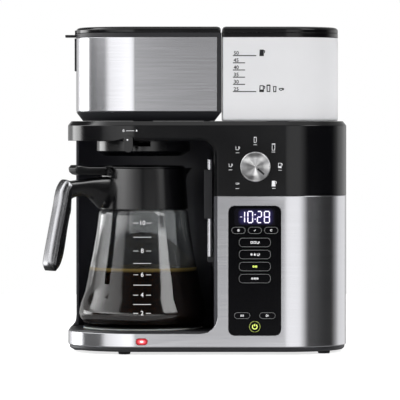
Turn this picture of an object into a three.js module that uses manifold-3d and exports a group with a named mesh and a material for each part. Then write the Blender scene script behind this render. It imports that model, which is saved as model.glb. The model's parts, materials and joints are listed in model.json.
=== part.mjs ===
// A drip and cold brew coffee maker with its glass carafe, in millimetres, +Z up.
// Places are measured from the body's centre line (X), its front plane (Y) and the table (Z).
import * as THREE from "three";
import { mergeVertices } from "three/addons/utils/BufferGeometryUtils.js";
import Module from "manifold-3d";

const wasm = await Module();
wasm.setup();

// Clearances shared by all pieces
const seam = 0.3;
const overrun = 12;
const sharpestRadius = 0.3;
const mergeDistance = 1e-4;

// Body outline seen from above
const towerWidth = 161.1;
const frontLeftRadius = 86;
const frontRightRadius = 78;
const rearRadius = 30;
const coverDepth = 18;

// Layers of the body, from the table up
const footHeight = 3.5;
const panHeight = 5.2;
const bandHeight = 22.7;
const bandRoll = 1;
const deckRise = 2.8;
const fasciaDrop = 67.9;
const armHeight = 24.4;
const skirtHeight = 11.3;
const wrapHeight = 92.2;
const rimHeight = 5.4;
const lidHeight = 7.4;

// Walls
const skin = 1.5;
const housingWall = 3;
const coverWall = 2.5;
const wrapSkin = 1.2;

// Feet and pan
const footRadius = 7.5;
const footBevel = 0.8;
const footInsetFront = 20;
const footInsetSide = 29;
const footInsetRear = 19;
const footMidDepth = 105;
const footMidInset = 14;
const panInset = 2;
const panBevel = 3;
const panFloor = 2.2;

// Steel L and its inside corner
const steelCornerRadius = 20;
const deckBevel = 1.6;
const wiringMarginSide = 12;
const wiringMarginFront = 16;
const wiringMarginRear = 26;

// Carafe bay, set round the carafe's glass
const bayGapLeft = 13.7;
const bayGapRight = 8.3;
const bayGapFront = 7.7;
const bayGapRear = 14.7;
const bayBackWall = 13;
const columnInset = 8.4;
const columnFlare = 5;
const columnFlareHeight = 14;
const hornBlunt = 6;
const bayBevel = 4.3;
const bayCornerRadius = 15;
const cornerWebDepth = 18;
const rearCornerRadius = 22;
const ventCount = 7;
const ventPitch = 9;
const ventHeight = 34;
const ventDrop = 18;

// Arm and fascia
const armWall = 6;
const armTopBevel = 5.4;
const chassisPlate = 3;
const postWidth = 7.4;

// Warming plate
const plateInset = 4.8;
const plateHeight = 3.5;
const plateSheet = 1.5;
const plateLedge = 2.5;
const plateBossGap = 7;
const plateBossDepth = 5;
const sealWidth = 4.5;
const sealHeight = 1.6;
const elementRadius = 46;
const elementWidth = 9;
const elementHeight = 6;
const glassToPlate = 0.3;

// Lit lens in the band
const lensOffset = 0.3;
const lensRise = 12.9;
const lensWidth = 14;
const lensHeight = 7.5;
const lensProud = 0.6;
const lensDepth = 6;

// Control panel
const panelSetIn = 13.65;
const panelMargin = 3.45;
const panelTopGap = 12.1;
const panelBottomGap = 15.5;
const panelRadius = 7;
const panelProud = 0.6;
const panelLedge = 3;
const boardThickness = 1.6;
const boardMargin = 2;
const displayWidth = 46;
const displayHeight = 21;
const displayDrop = 13.8;

// Buttons: every button stands a little proud of the panel and travels inwards
const buttonProud = 0.9;
const buttonLength = 4.6;
const buttonGap = 0.3;
const programButtonCount = 3;
const programButtonWidth = 17.2;
const programButtonHeight = 8.7;
const programButtonDrop = 29.8;
const programButtonSpace = 2.9;
const brewButtonCount = 4;
const brewButtonWidth = 39.4;
const brewButtonHeight = 11.5;
const brewButtonDrop = 44.6;
const brewButtonSpace = 3.3;
const settingButtonWidth = 19.9;
const settingButtonHeight = 8.2;
const settingButtonRise = 24.2;
const settingButtonSpace = 11.2;
const powerButtonDiameter = 14;
const powerButtonRise = 10.6;
const brewButtonRadius = 3.4;

// Size knob
const knobSetIn = 46.3;
const knobRise = 36.3;
const knobRadius = 18.6;
const knobDepth = 15;
const knobStandOff = 0.5;
const knobRimWidth = 3.4;
const knobDish = 1.1;
const knobRimBevel = 1.2;
const shaftRadius = 3;
const shaftEngagement = 8;
const encoderWidth = 24;
const encoderDepth = 10;

// Fold-down cup shelf
const shelfFront = 30;
const shelfBehindCarafe = 28;
const shelfThickness = 6;
const shelfLength = 123.5;
const shelfTopGap = 23.1;
const shelfBarrelRadius = 3.3;
const shelfPinRadius = 1.5;
const shelfEarWidth = 5;
const shelfEarRadius = 3.4;
const shelfStripHeight = 18;
const shelfStripThickness = 1.2;
const shelfTrimDepth = 2.2;
const pullRise = 50.3;
const pullHeight = 60.8;
const pullProud = 4.2;
const pullDepth = 12;
const pullWall = 1.9;

// Drip funnel and drip stop under the arm
const funnelRadius = 58.7;
const funnelFootInset = 10.7;
const funnelHeadroom = 12.2;
const funnelHeight = 18.8;
const funnelBevel = 6;
const funnelWall = 2.5;
const outletRadius = 2.6;
const outletReach = 24;
const shutterRadius = 30;
const shutterThickness = 2;
const leverAngle = -10.3;
const leverSweep = 13.5;
const leverProud = 2.4;
const leverWidth = 12;
const leverThickness = 3;
const tabRise = 6.7;
const tabDrop = 14.3;
const leverArmDrop = 2.7;
const leverArmHeight = 3.6;
const leverHubRadius = 4;

// Brew section
const brewInset = 10.5;
const brewOverTower = 4.9;
const upperSetBack = 11;
const upperFront = 8;
const brewCornerRadius = 75;
const upperRearRadius = 20;
const squareCornerRadius = 2.5;
const skirtTaper = 8.3;
const brewPostWidth = 5.5;
const wrapBevel = 0.8;
const brewFloor = 3;
const brewDeckDrop = 8.6;
const upperWall = 3;
const basketFlangeGap = 6.2;
const basketLedge = 3.5;
const basketWall = 2;
const basketFlangeHeight = 2;
const basketWallHeight = 43;
const basketThroatRise = 10;
const basketThroatRadius = 16;
const basketSpoutRadius = 12;
const basketSpoutRise = 5.7;
const basketDraft = 2.6;
const gripX = 1.9;
const gripY = 92;
const gripWidth = 12;
const gripHeight = 41;
const showerRadius = 32;
const showerHeight = 8;
const showerHoleRadius = 2;
const showerHoleReach = 20;
const showerHoleCount = 8;
const riserInset = 17.8;
const riserSetBack = 15;
const riserRadius = 4;
const riserBore = 2.4;

// Lids and their hinges
const lidEdge = 4;
const lidRoundInset = 1.4;
const lidRoundRise = 2;
const lidTopInset = 4.5;
const lidSkin = 3.5;
const lidRightInset = 0.9;
const lidTabReach = 13.6;
const lidTabThickness = 3;
const lidTabWidth = 26;
const lidTabDrop = 4.6;
const lidTabY = 92;
const hingeRadius = 4;
const hingePinRadius = 1.6;
const hingeEarWidth = 8;
const hingeHalfSpan = 40;
const hingeGap = 0.5;

// Water tank
const tankGap = 1;
const tankInset = 10.7;
const tankCornerRadius = 67;
const tankWall = 2.5;
const tankFloorRise = 11.5;
const tankFloor = 3;
const tankFootRise = 2.4;
const tankFootInset = 1.2;
const tankLip = 5;
const tankRimWidth = 6;
const valveInset = 73.3;
const valveSetBack = 53;
const valveRadius = 9;
const valveStemRadius = 5;
const valveHeight = 12;
const valveFlange = 2;
const seatRadius = 14;
const seatHeight = 6;
const seatWall = 2.5;

// Water path inside the tower
const pumpInset = 44;
const pumpSetBack = 56;
const pumpRadius = 21;
const pumpHeight = 58;
const pumpNeckRadius = 5;
const heaterSetIn = 39.1;
const heaterSetBack = 46;
const heaterRadius = 19;
const heaterRise = 51;
const heaterHeight = 112;
const heaterStandWidth = 30;
const heaterNeckRadius = 5;
const neckHeight = 6;
const hoseRadius = 3.6;
const hoseBend = 20;

// Cord gland
const glandInset = 54;
const glandRise = 13.5;
const glandRadius = 6;
const glandFlangeRadius = 8;
const glandReach = 6;
const glandFlange = 1.8;
const glandBore = 3.2;

// Carafe glass
const glassRadius = 80.3;
const glassHeight = 159.2;
const glassWall = 2.2;
const glassFootInset = 14.3;
const glassNeckRadius = 52.8;

// Carafe collar, spout, handle and lid
const collarOverlap = 14;
const collarHeight = 51;
const collarThickness = 3.3;
const collarTaper = 3.8;
const collarWall = 3;
const collarLip = 0.2;
const spoutLength = 18.4;
const spoutHalfAngle = 16;
const spoutRise = 16;
const carafeTurn = 210;
const handleReach = 138.8;
const handleDrop = 13;
const handleHeight = 113;
const handleWidth = 24;
const stripThickness = 2.4;
const lidPivotGap = 3.4;
const lidPivotDrop = 3;
const lidThickness = 3;
const lidPlugDepth = 7;
const lidPlugGap = 1.2;
const lidPinRadius = 1.5;
const lidEarRadius = 3;
const lidEarWidth = 5;
const thumbLength = 45;
const thumbHeight = 12;
const thumbWidth = 22;
const thumbBevel = 2.5;
const lidInletRadius = 30;
const lidInletDepth = 1.4;

// Outline shares, as fractions of the sizes that they follow
const glassOutlineShares = [
  [0.8, 0.029], [1, 0.098], [0.917, 0.182], [0.707, 0.29], [0.57, 0.4], [0.437, 0.524],
  [0.303, 0.643], [0.137, 0.815], [0, 1],
];
const handleOuterShares = [
  [0.696, 1], [0.78, 0.885], [0.834, 0.686], [0.91, 0.416], [0.972, 0.186], [1, 0.053],
];
const handleInnerShares = [
  [0.602, 0.761], [0.596, 0.7], [0.6, 0.632], [0.636, 0.53], [0.693, 0.274], [0.74, 0.12],
  [0.8, 0.035],
];
const handleArmShares = [
  [-0.06, 1.026, -0.06, 0.673], [0.109, 1.023, 0.109, 0.673], [0.155, 1.018, 0.155, 0.72],
  [0.25, 1.008, 0.25, 0.812], [0.51, 0.984, 0.47, 0.817], [0.62, 0.978, 0.56, 0.797],
];
const handleToeShares = [0.935, 0, 0.86, 0];
const handleSectionShares = [[0, 0.75], [0.1, 1], [0.55, 1], [0.85, 0.7], [1, 0.3]];
const thumbOutlineShares = [
  [0, 1], [0.6, 1], [0.82, 1.12], [0.93, 1.1], [1, 0.8], [0.98, 0.4], [0.9, 0.15], [0.8, 0.06],
  [0, 0],
];

// Counts of facets
const wideSteps = 10;
const middleSteps = 4;
const tightSteps = 2;
const roundSteps = 28;
const baySteps = 36;
const hiddenSteps = 18;
const smallRoundSteps = 12;
const holeSteps = 8;
const glassSteps = 28;
const outerGlassSamples = 12;
const innerGlassSamples = 7;
const handleSamples = 7;
const hoseSides = 8;
const hoseSteps = 11;

// Values worked out from the sizes above
const bodyWidth = bayGapLeft + 2 * glassRadius + bayGapRight + bayBevel + towerWidth;
const halfWidth = bodyWidth / 2;
const carafeX = -halfWidth + bayGapLeft + glassRadius;
const carafeY = bayGapFront + glassRadius;
const bayRadius = glassRadius + bayGapRear;
const bayRight = carafeX + glassRadius + bayGapRight;
const towerLeft = bayRight + bayBevel;
const columnLeft = -halfWidth + columnInset;
const coverFront = carafeY + bayRadius + bayBackWall;
const bodyDepth = coverFront + coverDepth;
const coreInset = skin + seam;

const bandTop = footHeight + bandHeight;
const deckTop = bandTop + deckRise;
const plateTop = deckTop + plateHeight;
const glassBottom = plateTop + glassToPlate;
const glassTop = glassBottom + glassHeight;
const collarBottom = glassTop - collarOverlap;
const collarTop = collarBottom + collarHeight;
const carafeTop = collarTop + seam + lidThickness;
const funnelBottom = carafeTop + funnelHeadroom;
const armBottom = funnelBottom + funnelHeight;
const towerTop = armBottom - fasciaDrop;
const armTop = armBottom + armHeight;
const skirtTop = armTop + skirtHeight;
const wrapTop = skirtTop + wrapHeight;
const rimTop = wrapTop + rimHeight;
const machineHeight = rimTop + lidHeight;

const panFloorZ = footHeight + panFloor;
const housingBottom = footHeight + panHeight + seam;
const columnBottom = deckTop + seam;
const columnTop = armBottom - seam;
const chassisTop = armTop - seam;
const upperBottom = armTop + seam;
const brewDeckZ = rimTop - brewDeckDrop;
const lidBottom = rimTop + seam;

const plateRadius = glassRadius - plateInset;
const plateWellRadius = plateRadius - plateLedge;
const plateBossRadius = plateWellRadius - plateBossGap;
const lensX = carafeX - lensOffset;
const lensZ = footHeight + lensRise;

const panelWidth = programButtonCount * programButtonWidth
  + (programButtonCount - 1) * programButtonSpace + 2 * panelMargin;
const panelX = towerLeft + panelSetIn + panelWidth / 2;
const panelTop = towerTop - panelTopGap;
const panelBottom = housingBottom + panelBottomGap;
const panelHeight = panelTop - panelBottom;
const panelZ = (panelTop + panelBottom) / 2;
const panelBack = skin;
const boardFront = coreInset + housingWall + seam;
const knobX = towerLeft + knobSetIn;
const knobZ = towerTop + knobRise;

const shelfPivotX = bayRight - seam - shelfStripThickness - seam - shelfBarrelRadius;
const shelfTop = armBottom - shelfTopGap;
const shelfPivotZ = shelfTop - shelfLength;
const shelfBack = carafeY + shelfBehindCarafe;
const pullBottom = shelfPivotZ + pullRise;
const pullTop = pullBottom + pullHeight;

const funnelFootRadius = funnelRadius - funnelFootInset;
const leverReach = carafeY + leverProud;
const leverArmTop = armBottom - leverArmDrop;

const brewLeft = -halfWidth + brewInset;
const brewRight = towerLeft + brewOverTower;
const upperBack = bodyDepth - upperSetBack;
const wrapRight = brewRight - brewPostWidth;
const basketFlangeRadius = carafeY - upperFront - coreInset - upperWall - basketFlangeGap;
const basketWellRadius = basketFlangeRadius - basketLedge;
const basketShoulderZ = brewDeckZ - basketWallHeight;
const basketThroatZ = upperBottom + basketThroatRise;
const basketSpoutBottom = armBottom + basketSpoutRise;
const riserX = brewRight - riserInset;
const riserY = upperBack - riserSetBack;
const lidTabZ = lidBottom - lidTabDrop;
const hingeY = upperBack + hingeRadius + hingeGap;
const hingeZ = lidBottom;

const tankLeft = brewRight + tankGap;
const tankRight = halfWidth - tankInset;
const tankFloorZ = upperBottom + tankFloorRise;
const valveX = tankRight - valveInset;
const valveY = upperBack - valveSetBack;
const pumpX = halfWidth - pumpInset;
const pumpY = coverFront - pumpSetBack;
const heaterX = towerLeft + heaterSetIn;
const heaterY = coverFront - heaterSetBack;
const heaterBottom = deckTop + heaterRise;
const glandX = halfWidth - glandInset;
const glandZ = footHeight + glandRise;

const glassFootRadius = glassRadius - glassFootInset;
const collarFootRadius = glassNeckRadius + seam + collarThickness;
const collarRadius = collarFootRadius - collarTaper;
const spoutReach = collarRadius + spoutLength;
const handleTop = collarTop - handleDrop;
const handleBottom = handleTop - handleHeight;
const lidPivotReach = collarRadius + lidPivotGap;
const lidPivotZ = collarTop - lidPivotDrop;
const thumbBottom = lidPivotZ - 2 * lidEarRadius;
const thumbTop = thumbBottom + thumbHeight;

const bodyPlan = {
  left: -halfWidth,
  right: halfWidth,
  front: 0,
  back: bodyDepth,
  radii: [frontLeftRadius, frontRightRadius, rearRadius, rearRadius],
  steps: [wideSteps, wideSteps, middleSteps, middleSteps],
};
const brewPlan = {
  left: brewLeft,
  right: brewRight,
  front: upperFront,
  back: upperBack,
  radii: [brewCornerRadius, squareCornerRadius, squareCornerRadius, upperRearRadius],
  steps: [wideSteps, tightSteps, tightSteps, middleSteps],
};
const brewLidPlan = { ...brewPlan, right: brewRight - lidRightInset };
const tankPlan = {
  left: tankLeft,
  right: tankRight,
  front: upperFront,
  back: upperBack,
  radii: [squareCornerRadius, tankCornerRadius, upperRearRadius, squareCornerRadius],
  steps: [tightSteps, wideSteps, middleSteps, tightSteps],
};

// Solids from three.js geometry

function solid(geometry) {
  const bare = geometry.clone();
  bare.deleteAttribute("normal");
  bare.deleteAttribute("uv");
  const merged = mergeVertices(bare, mergeDistance);
  const corners = merged.index.array;
  const kept = [];
  for (let i = 0; i < corners.length; i += 3) {
    const [a, b, c] = [corners[i], corners[i + 1], corners[i + 2]];
    if (a !== b && b !== c && c !== a) kept.push(a, b, c);
  }
  const build = (triangles) =>
    new wasm.Manifold(
      new wasm.Mesh({
        numProp: 3,
        vertProperties: merged.attributes.position.array,
        triVerts: new Uint32Array(triangles),
      }),
    );
  const made = build(kept);
  return made.volume() < 0 ? build(kept.reverse()) : made;
}

function joined(...solids) {
  return solids.reduce((whole, piece) => whole.add(piece));
}

function cut(whole, ...cutters) {
  return cutters.reduce((left, cutter) => left.subtract(cutter), whole);
}

// A rounded rectangle seen from above, drawn in by an inset
function planOutline(plan, inset) {
  const corners = [
    [plan.left, plan.front, 1, 1, Math.PI],
    [plan.right, plan.front, -1, 1, 1.5 * Math.PI],
    [plan.right, plan.back, -1, -1, 0],
    [plan.left, plan.back, 1, -1, 0.5 * Math.PI],
  ];
  return corners.flatMap(([x, y, inX, inY, start], i) => {
    const radius = Math.max(plan.radii[i] - inset, sharpestRadius);
    const centreX = x + inX * (inset + radius);
    const centreY = y + inY * (inset + radius);
    return arcPoints(centreX, centreY, radius, start, start + Math.PI / 2, plan.steps[i]);
  });
}

function arcPoints(x, y, radius, from, to, steps) {
  return Array.from({ length: steps + 1 }, (_, k) => {
    const angle = from + ((to - from) * k) / steps;
    return new THREE.Vector2(x + radius * Math.cos(angle), y + radius * Math.sin(angle));
  });
}

// A closed skin over rings that all have the same number of points
function ringSolid(rings) {
  const count = rings[0].length;
  const index = [];
  for (let r = 0; r < rings.length - 1; r++)
    for (let k = 0; k < count; k++) {
      const a = r * count + k;
      const b = r * count + ((k + 1) % count);
      index.push(a, b, b + count, a, b + count, a + count);
    }
  const last = (rings.length - 1) * count;
  for (let k = 1; k < count - 1; k++) index.push(0, k + 1, k, last, last + k, last + k + 1);
  const geometry = new THREE.BufferGeometry();
  geometry.setAttribute("position", new THREE.Float32BufferAttribute(rings.flat(2), 3));
  geometry.setIndex(index);
  return solid(geometry);
}

// Levels are pairs of height and inset
function stack(plan, levels) {
  return ringSolid(
    levels.map(([height, inset]) => planOutline(plan, inset).map((p) => [p.x, p.y, height])),
  );
}

function straightStack(plan, inset, bottom, top) {
  return stack(plan, [[bottom, inset], [top, inset]]);
}

// A round body from pairs of radius and height about a vertical axis
function turned(profile, x = 0, y = 0, steps = roundSteps) {
  const points = profile.map(([radius, height]) => new THREE.Vector2(radius, height));
  const first = points[0];
  const last = points[points.length - 1];
  if (first.x > 0 || last.x > 0) points.push(first.clone());
  const geometry = new THREE.LatheGeometry(points, steps);
  geometry.rotateX(Math.PI / 2);
  geometry.translate(x, y, 0);
  return solid(geometry);
}

function disc(radius, bottom, top, x = 0, y = 0, steps = roundSteps) {
  return turned([[0, bottom], [radius, bottom], [radius, top], [0, top]], x, y, steps);
}

// A round bar along X or along Y
function barX(radius, from, to, y, z, steps = smallRoundSteps) {
  const geometry = new THREE.CylinderGeometry(radius, radius, to - from, steps);
  geometry.rotateZ(Math.PI / 2);
  geometry.translate((from + to) / 2, y, z);
  return solid(geometry);
}

function barY(radius, from, to, x, z, steps = smallRoundSteps) {
  const geometry = new THREE.CylinderGeometry(radius, radius, to - from, steps);
  geometry.translate(x, (from + to) / 2, z);
  return solid(geometry);
}

function block(x0, x1, y0, y1, z0, z1) {
  const geometry = new THREE.BoxGeometry(x1 - x0, y1 - y0, z1 - z0);
  geometry.translate((x0 + x1) / 2, (y0 + y1) / 2, (z0 + z1) / 2);
  return solid(geometry);
}

// An outline in X and Z, extruded along Y
function frontExtrusion(points, y0, y1, options = {}) {
  const geometry = new THREE.ExtrudeGeometry(new THREE.Shape(points), {
    depth: y1 - y0,
    bevelEnabled: false,
    ...options,
  });
  geometry.rotateX(Math.PI / 2);
  geometry.translate(0, y1, 0);
  return solid(geometry);
}

// A rounded plate seen from the front
function frontPlate(x, z, width, height, radius, y0, y1, steps = tightSteps + 1) {
  const plan = {
    left: x - width / 2,
    right: x + width / 2,
    front: z - height / 2,
    back: z + height / 2,
    radii: [radius, radius, radius, radius],
    steps: [steps, steps, steps, steps],
  };
  return frontExtrusion(planOutline(plan, 0), y0, y1);
}

// A hose of one radius through places joined by round bends
function hose(places, radius) {
  const path = new THREE.CurvePath();
  const points = places.map((p) => new THREE.Vector3(...p));
  let from = points[0];
  for (let i = 1; i < points.length - 1; i++) {
    const before = points[i].clone().lerp(from, Math.min(0.5, hoseBend / points[i].distanceTo(from)));
    const next = points[i + 1];
    const after = points[i].clone().lerp(next, Math.min(0.5, hoseBend / points[i].distanceTo(next)));
    path.add(new THREE.LineCurve3(from, before));
    path.add(new THREE.QuadraticBezierCurve3(before, points[i], after));
    from = after;
  }
  path.add(new THREE.LineCurve3(from, points[points.length - 1]));
  const section = new THREE.Shape(arcPoints(0, 0, radius, 0, 2 * Math.PI, hoseSides).slice(0, -1));
  return solid(new THREE.ExtrudeGeometry(section, { steps: hoseSteps, extrudePath: path }));
}

// The scene graph: one group for each piece that moves, set at its axis

const machine = new THREE.Group();

function movingGroup(x, y, z, turn = 0, parent = machine) {
  const group = new THREE.Group();
  group.position.set(x, y, z);
  group.rotation.z = THREE.MathUtils.degToRad(turn);
  parent.add(group);
  return group;
}

function paint(color, roughness, metalness, opacity = 1) {
  return new THREE.MeshStandardMaterial({
    color,
    roughness,
    metalness,
    opacity,
    transparent: opacity < 1,
  });
}

const steel = () => paint(0xc4c3c2, 0.34, 1);
const glossBlack = () => paint(0x0c0c0f, 0.16, 0);
const mattBlack = () => paint(0x1a1a1c, 0.55, 0);
const rubber = () => paint(0x151515, 0.85, 0);
const silicone = () => paint(0xb9b7b0, 0.7, 0);
const aluminium = () => paint(0xa9abad, 0.45, 1);

// Adds a solid made in machine places to a group that stands at an axis
function place(name, made, material, group = machine) {
  const mesh3 = made.getMesh();
  const geometry = new THREE.BufferGeometry();
  geometry.setAttribute("position", new THREE.BufferAttribute(mesh3.vertProperties, 3));
  geometry.setIndex(new THREE.BufferAttribute(mesh3.triVerts, 1));
  geometry.computeVertexNormals();
  const mesh = new THREE.Mesh(geometry, material);
  mesh.name = name;
  if (group !== machine) mesh.position.copy(group.position).negate();
  group.add(mesh);
  return mesh;
}

// Adds a solid made about the group's own axis
function placeLocal(name, made, material, group) {
  const mesh = place(name, made, material, group);
  mesh.position.set(0, 0, 0);
  return mesh;
}

// Openings that several pieces share

function panelWindow(inset, y0, y1) {
  const width = panelWidth - 2 * inset;
  const height = panelHeight - 2 * inset;
  return frontPlate(panelX, panelZ, width, height, panelRadius - inset, y0, y1);
}

function lensWindow(gap, y0, y1) {
  const width = lensWidth + 2 * gap;
  const height = lensHeight + 2 * gap;
  return frontPlate(lensX, lensZ, width, height, height / 2 - sharpestRadius, y0, y1);
}

function knobBore(y0, y1) {
  return barY(shaftRadius + seam, y0, y1, knobX, knobZ);
}

// The steel front is an L: a low band and the tower's face, with a round inside corner
function steelOutline(grow) {
  const left = towerLeft - grow;
  const band = bandTop + grow;
  const radius = steelCornerRadius - grow;
  const corner = arcPoints(left - radius, band + radius, radius, 0, -Math.PI / 2, middleSteps);
  return [
    new THREE.Vector2(-halfWidth - overrun, housingBottom - grow),
    new THREE.Vector2(halfWidth + overrun, housingBottom - grow),
    new THREE.Vector2(halfWidth + overrun, towerTop + grow),
    new THREE.Vector2(left, towerTop + grow),
    ...corner,
    new THREE.Vector2(-halfWidth - overrun, band),
  ];
}

// The carafe bay seen from above: a round back, a flat right wall and an open left side
function baySolid(wall, bottom, top) {
  const round = disc(bayRadius + wall, bottom, top, carafeX, carafeY, baySteps);
  const front = block(-halfWidth - overrun, bayRight + wall, -overrun, carafeY, bottom, top);
  const right = block(bayRight + wall, halfWidth, -overrun, bodyDepth, bottom, top);
  return cut(joined(round, front), right);
}

// Base

function makeFeet() {
  const right = halfWidth - footInsetSide;
  const feet = [
    ["foot_front_left", -halfWidth + frontLeftRadius - footMidInset, footInsetFront],
    ["foot_front_right", right, 2 * footInsetFront],
    ["foot_middle_left", -halfWidth + footMidInset, footMidDepth],
    ["foot_rear_left", -right + footInsetSide, bodyDepth - footInsetRear],
    ["foot_rear_right", right, bodyDepth - footInsetRear],
  ];
  feet.forEach(([name, x, y]) => {
    const top = footHeight - seam;
    const profile = [
      [0, 0], [footRadius - footBevel, 0], [footRadius, footBevel], [footRadius, top], [0, top],
    ];
    place(name, turned(profile, x, y, smallRoundSteps), rubber());
  });
}

function makeBasePan() {
  const top = footHeight + panHeight;
  const pan = stack(bodyPlan, [
    [footHeight, panInset + panBevel], [footHeight + panFloor, panInset], [top, panInset],
  ]);
  const inside = straightStack(bodyPlan, panInset + housingWall, panFloorZ, top + overrun);
  place("base_pan", cut(pan, inside), mattBlack());
}

function makeBaseHousing() {
  const outer = stack(bodyPlan, [
    [housingBottom, coreInset], [bandTop, coreInset], [deckTop, coreInset + deckBevel],
  ]);
  const inside = straightStack(
    bodyPlan, coreInset + housingWall, housingBottom - overrun, deckTop - housingWall,
  );
  const plateWell = disc(plateWellRadius, housingBottom, deckTop + overrun, carafeX, carafeY);
  const wiringWell = block(
    towerLeft + wiringMarginSide, halfWidth - wiringMarginSide, wiringMarginFront,
    bodyDepth - wiringMarginRear, deckTop - overrun, deckTop + overrun,
  );
  const glandHole = barY(glandRadius + seam, coverFront, bodyDepth + overrun, glandX, glandZ);
  const windows = [
    panelWindow(panelLedge, -overrun, boardFront),
    lensWindow(seam, -overrun, lensDepth + overrun),
  ];
  place("base_housing", cut(outer, inside, plateWell, wiringWell, glandHole, ...windows), mattBlack());
}

function makeSteelFront() {
  const ring = cut(
    stack(bodyPlan, [[housingBottom, bandRoll], [housingBottom + bandRoll, 0], [towerTop, 0]]),
    straightStack(bodyPlan, skin, housingBottom - overrun, towerTop + overrun),
  );
  const face = frontExtrusion(steelOutline(0), -overrun, coverFront);
  const windows = [panelWindow(-seam, -overrun, boardFront), lensWindow(seam, -overrun, lensDepth)];
  place("steel_front", cut(ring.intersect(face), ...windows), steel());
}

function makeWarmingLight() {
  const lens = lensWindow(0, -lensProud, lensDepth);
  place("warming_light", lens, paint(0xd6202a, 0.25, 0));
}

function makeWarmingPlate() {
  const underside = plateTop - plateSheet;
  const seat = deckTop + seam + sealHeight + seam;
  const plate = turned([
    [0, underside - plateBossDepth], [plateBossRadius, underside - plateBossDepth],
    [plateBossRadius, underside], [plateRadius - plateSheet, seat], [plateRadius, seat],
    [plateRadius, plateTop - plateSheet / 2], [plateRadius - plateSheet / 2, plateTop], [0, plateTop],
  ], carafeX, carafeY);
  place("warming_plate", plate, paint(0x232326, 0.38, 0.3));
  const sealInner = plateRadius - sealWidth + sealHeight;
  const ring = turned([
    [sealInner, deckTop + seam], [plateRadius, deckTop + seam],
    [plateRadius, deckTop + seam + sealHeight], [sealInner, deckTop + seam + sealHeight],
  ], carafeX, carafeY, hiddenSteps);
  place("plate_seal", ring, silicone());
  const top = underside - plateBossDepth - seam;
  const element = turned([
    [elementRadius, top - elementHeight], [elementRadius + elementWidth, top - elementHeight],
    [elementRadius + elementWidth, top], [elementRadius, top],
  ], carafeX, carafeY, hiddenSteps);
  place("heating_element", element, aluminium());
}

// Column, tower walls and rear cover

// The body's outline without its left edge, up to the seam with the rear cover
function columnBlock(wall, bottom, top, back) {
  return straightStack(bodyPlan, coreInset + wall, bottom, top)
    .intersect(block(columnLeft + wall, halfWidth, 0, back, bottom, top));
}

function makeColumnHousing() {
  const outer = columnBlock(0, columnBottom, columnTop, coverFront);
  const hornY = carafeY + Math.sqrt(bayRadius ** 2 - (columnLeft - carafeX) ** 2) + hornBlunt;
  const horn = block(-halfWidth, carafeX, -overrun, hornY, columnBottom - overrun, columnTop + overrun);
  const shell = cut(outer, baySolid(0, columnBottom - overrun, columnTop + overrun), horn);
  const insideBlock = columnBlock(
    housingWall, columnBottom - overrun, columnTop + overrun, coverFront + overrun,
  );
  const bayLiner = baySolid(housingWall, columnBottom - 2 * overrun, columnTop + 2 * overrun);
  const hornLiner = block(
    -halfWidth, carafeX, -overrun, hornY + housingWall,
    columnBottom - 2 * overrun, columnTop + 2 * overrun,
  );
  const inside = cut(insideBlock, bayLiner, hornLiner);
  const post = cornerPost(seam, coverFront, columnBottom, columnTop)
    .intersect(block(bayRight, towerLeft + postWidth, seam, armWall, columnBottom, columnTop));
  const web = cut(cornerWeb(), baySolidAboveDeck());
  const flare = columnFoot(hornY);
  const steelSpace = frontExtrusion(steelOutline(seam), -overrun, coreInset);
  const fasciaSpace = block(
    0, bayRight + postWidth + seam, -overrun, armWall + seam, towerTop, columnTop + overrun,
  );
  const housing = cut(
    joined(cut(shell, inside), post, web, flare), steelSpace, fasciaSpace, bayEdgeCutter(columnBottom),
    panelWindow(panelLedge, -overrun, boardFront - seam), knobBore(-overrun, 2 * overrun),
  );
  place("column_housing", housing, mattBlack());
}

// The column's left wall curves out to the deck at its foot
function columnFoot(front) {
  const centreX = columnLeft - columnFlare;
  const centreZ = columnBottom + columnFlareHeight;
  const curve = arcPoints(0, 0, 1, 0, -Math.PI / 2, middleSteps).map((p) =>
    new THREE.Vector2(centreX + p.x * columnFlare, centreZ + p.y * columnFlareHeight));
  const outline = [
    ...curve,
    new THREE.Vector2(columnLeft + housingWall / 2, columnBottom),
    new THREE.Vector2(columnLeft + housingWall / 2, centreZ),
  ];
  return frontExtrusion(outline, front, coverFront);
}

// The moulded edge where the bay's right wall meets the tower's face
function cornerPost(front, back, bottom, top) {
  return block(bayRight, bayRight + postWidth, front, Math.min(back, armWall), bottom, top);
}

// The filled inside corner behind the steel's round corner
function cornerWeb() {
  const radius = steelCornerRadius - seam;
  const left = towerLeft - radius - seam;
  const corner = arcPoints(left, bandTop + seam + radius, radius, -Math.PI / 2, 0, middleSteps);
  const outline = [
    ...corner,
    new THREE.Vector2(towerLeft + seam, bandTop + seam + radius),
    new THREE.Vector2(towerLeft + seam, columnBottom - overrun / 2),
    new THREE.Vector2(left, columnBottom - overrun / 2),
  ];
  return frontExtrusion(outline, coreInset, coreInset + cornerWebDepth)
    .intersect(block(-halfWidth, halfWidth, 0, bodyDepth, columnBottom, towerTop));
}

// Room for the carafe where the corner web reaches into the bay
function baySolidAboveDeck() {
  return disc(glassRadius + glassWall, columnBottom - overrun, towerTop, carafeX, carafeY);
}

// The bevel round the bay's front edge, as a cutter that widens towards the front
function bayEdgeCutter(bottom) {
  const corner = arcPoints(
    bayRight - bayCornerRadius, armBottom - bayCornerRadius, bayCornerRadius, 0, Math.PI / 2,
    middleSteps,
  );
  const far = -halfWidth - 2 * overrun;
  const outline = [
    new THREE.Vector2(far, bottom - overrun),
    new THREE.Vector2(bayRight, bottom - overrun),
    ...corner,
    new THREE.Vector2(far, armBottom),
  ];
  const rows = [
    [-overrun, bayBevel + overrun],
    [bayBevel, 0],
  ];
  const rings = rows.map(([y, grow]) =>
    outline.map((p, i) => {
      const x = i === 0 || i === outline.length - 1 ? p.x : growCorner(p, grow).x;
      const z = i < 2 ? p.y : growCorner(p, grow).z;
      return [x, y, z];
    }),
  );
  return ringSolid(rings);
}

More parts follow.
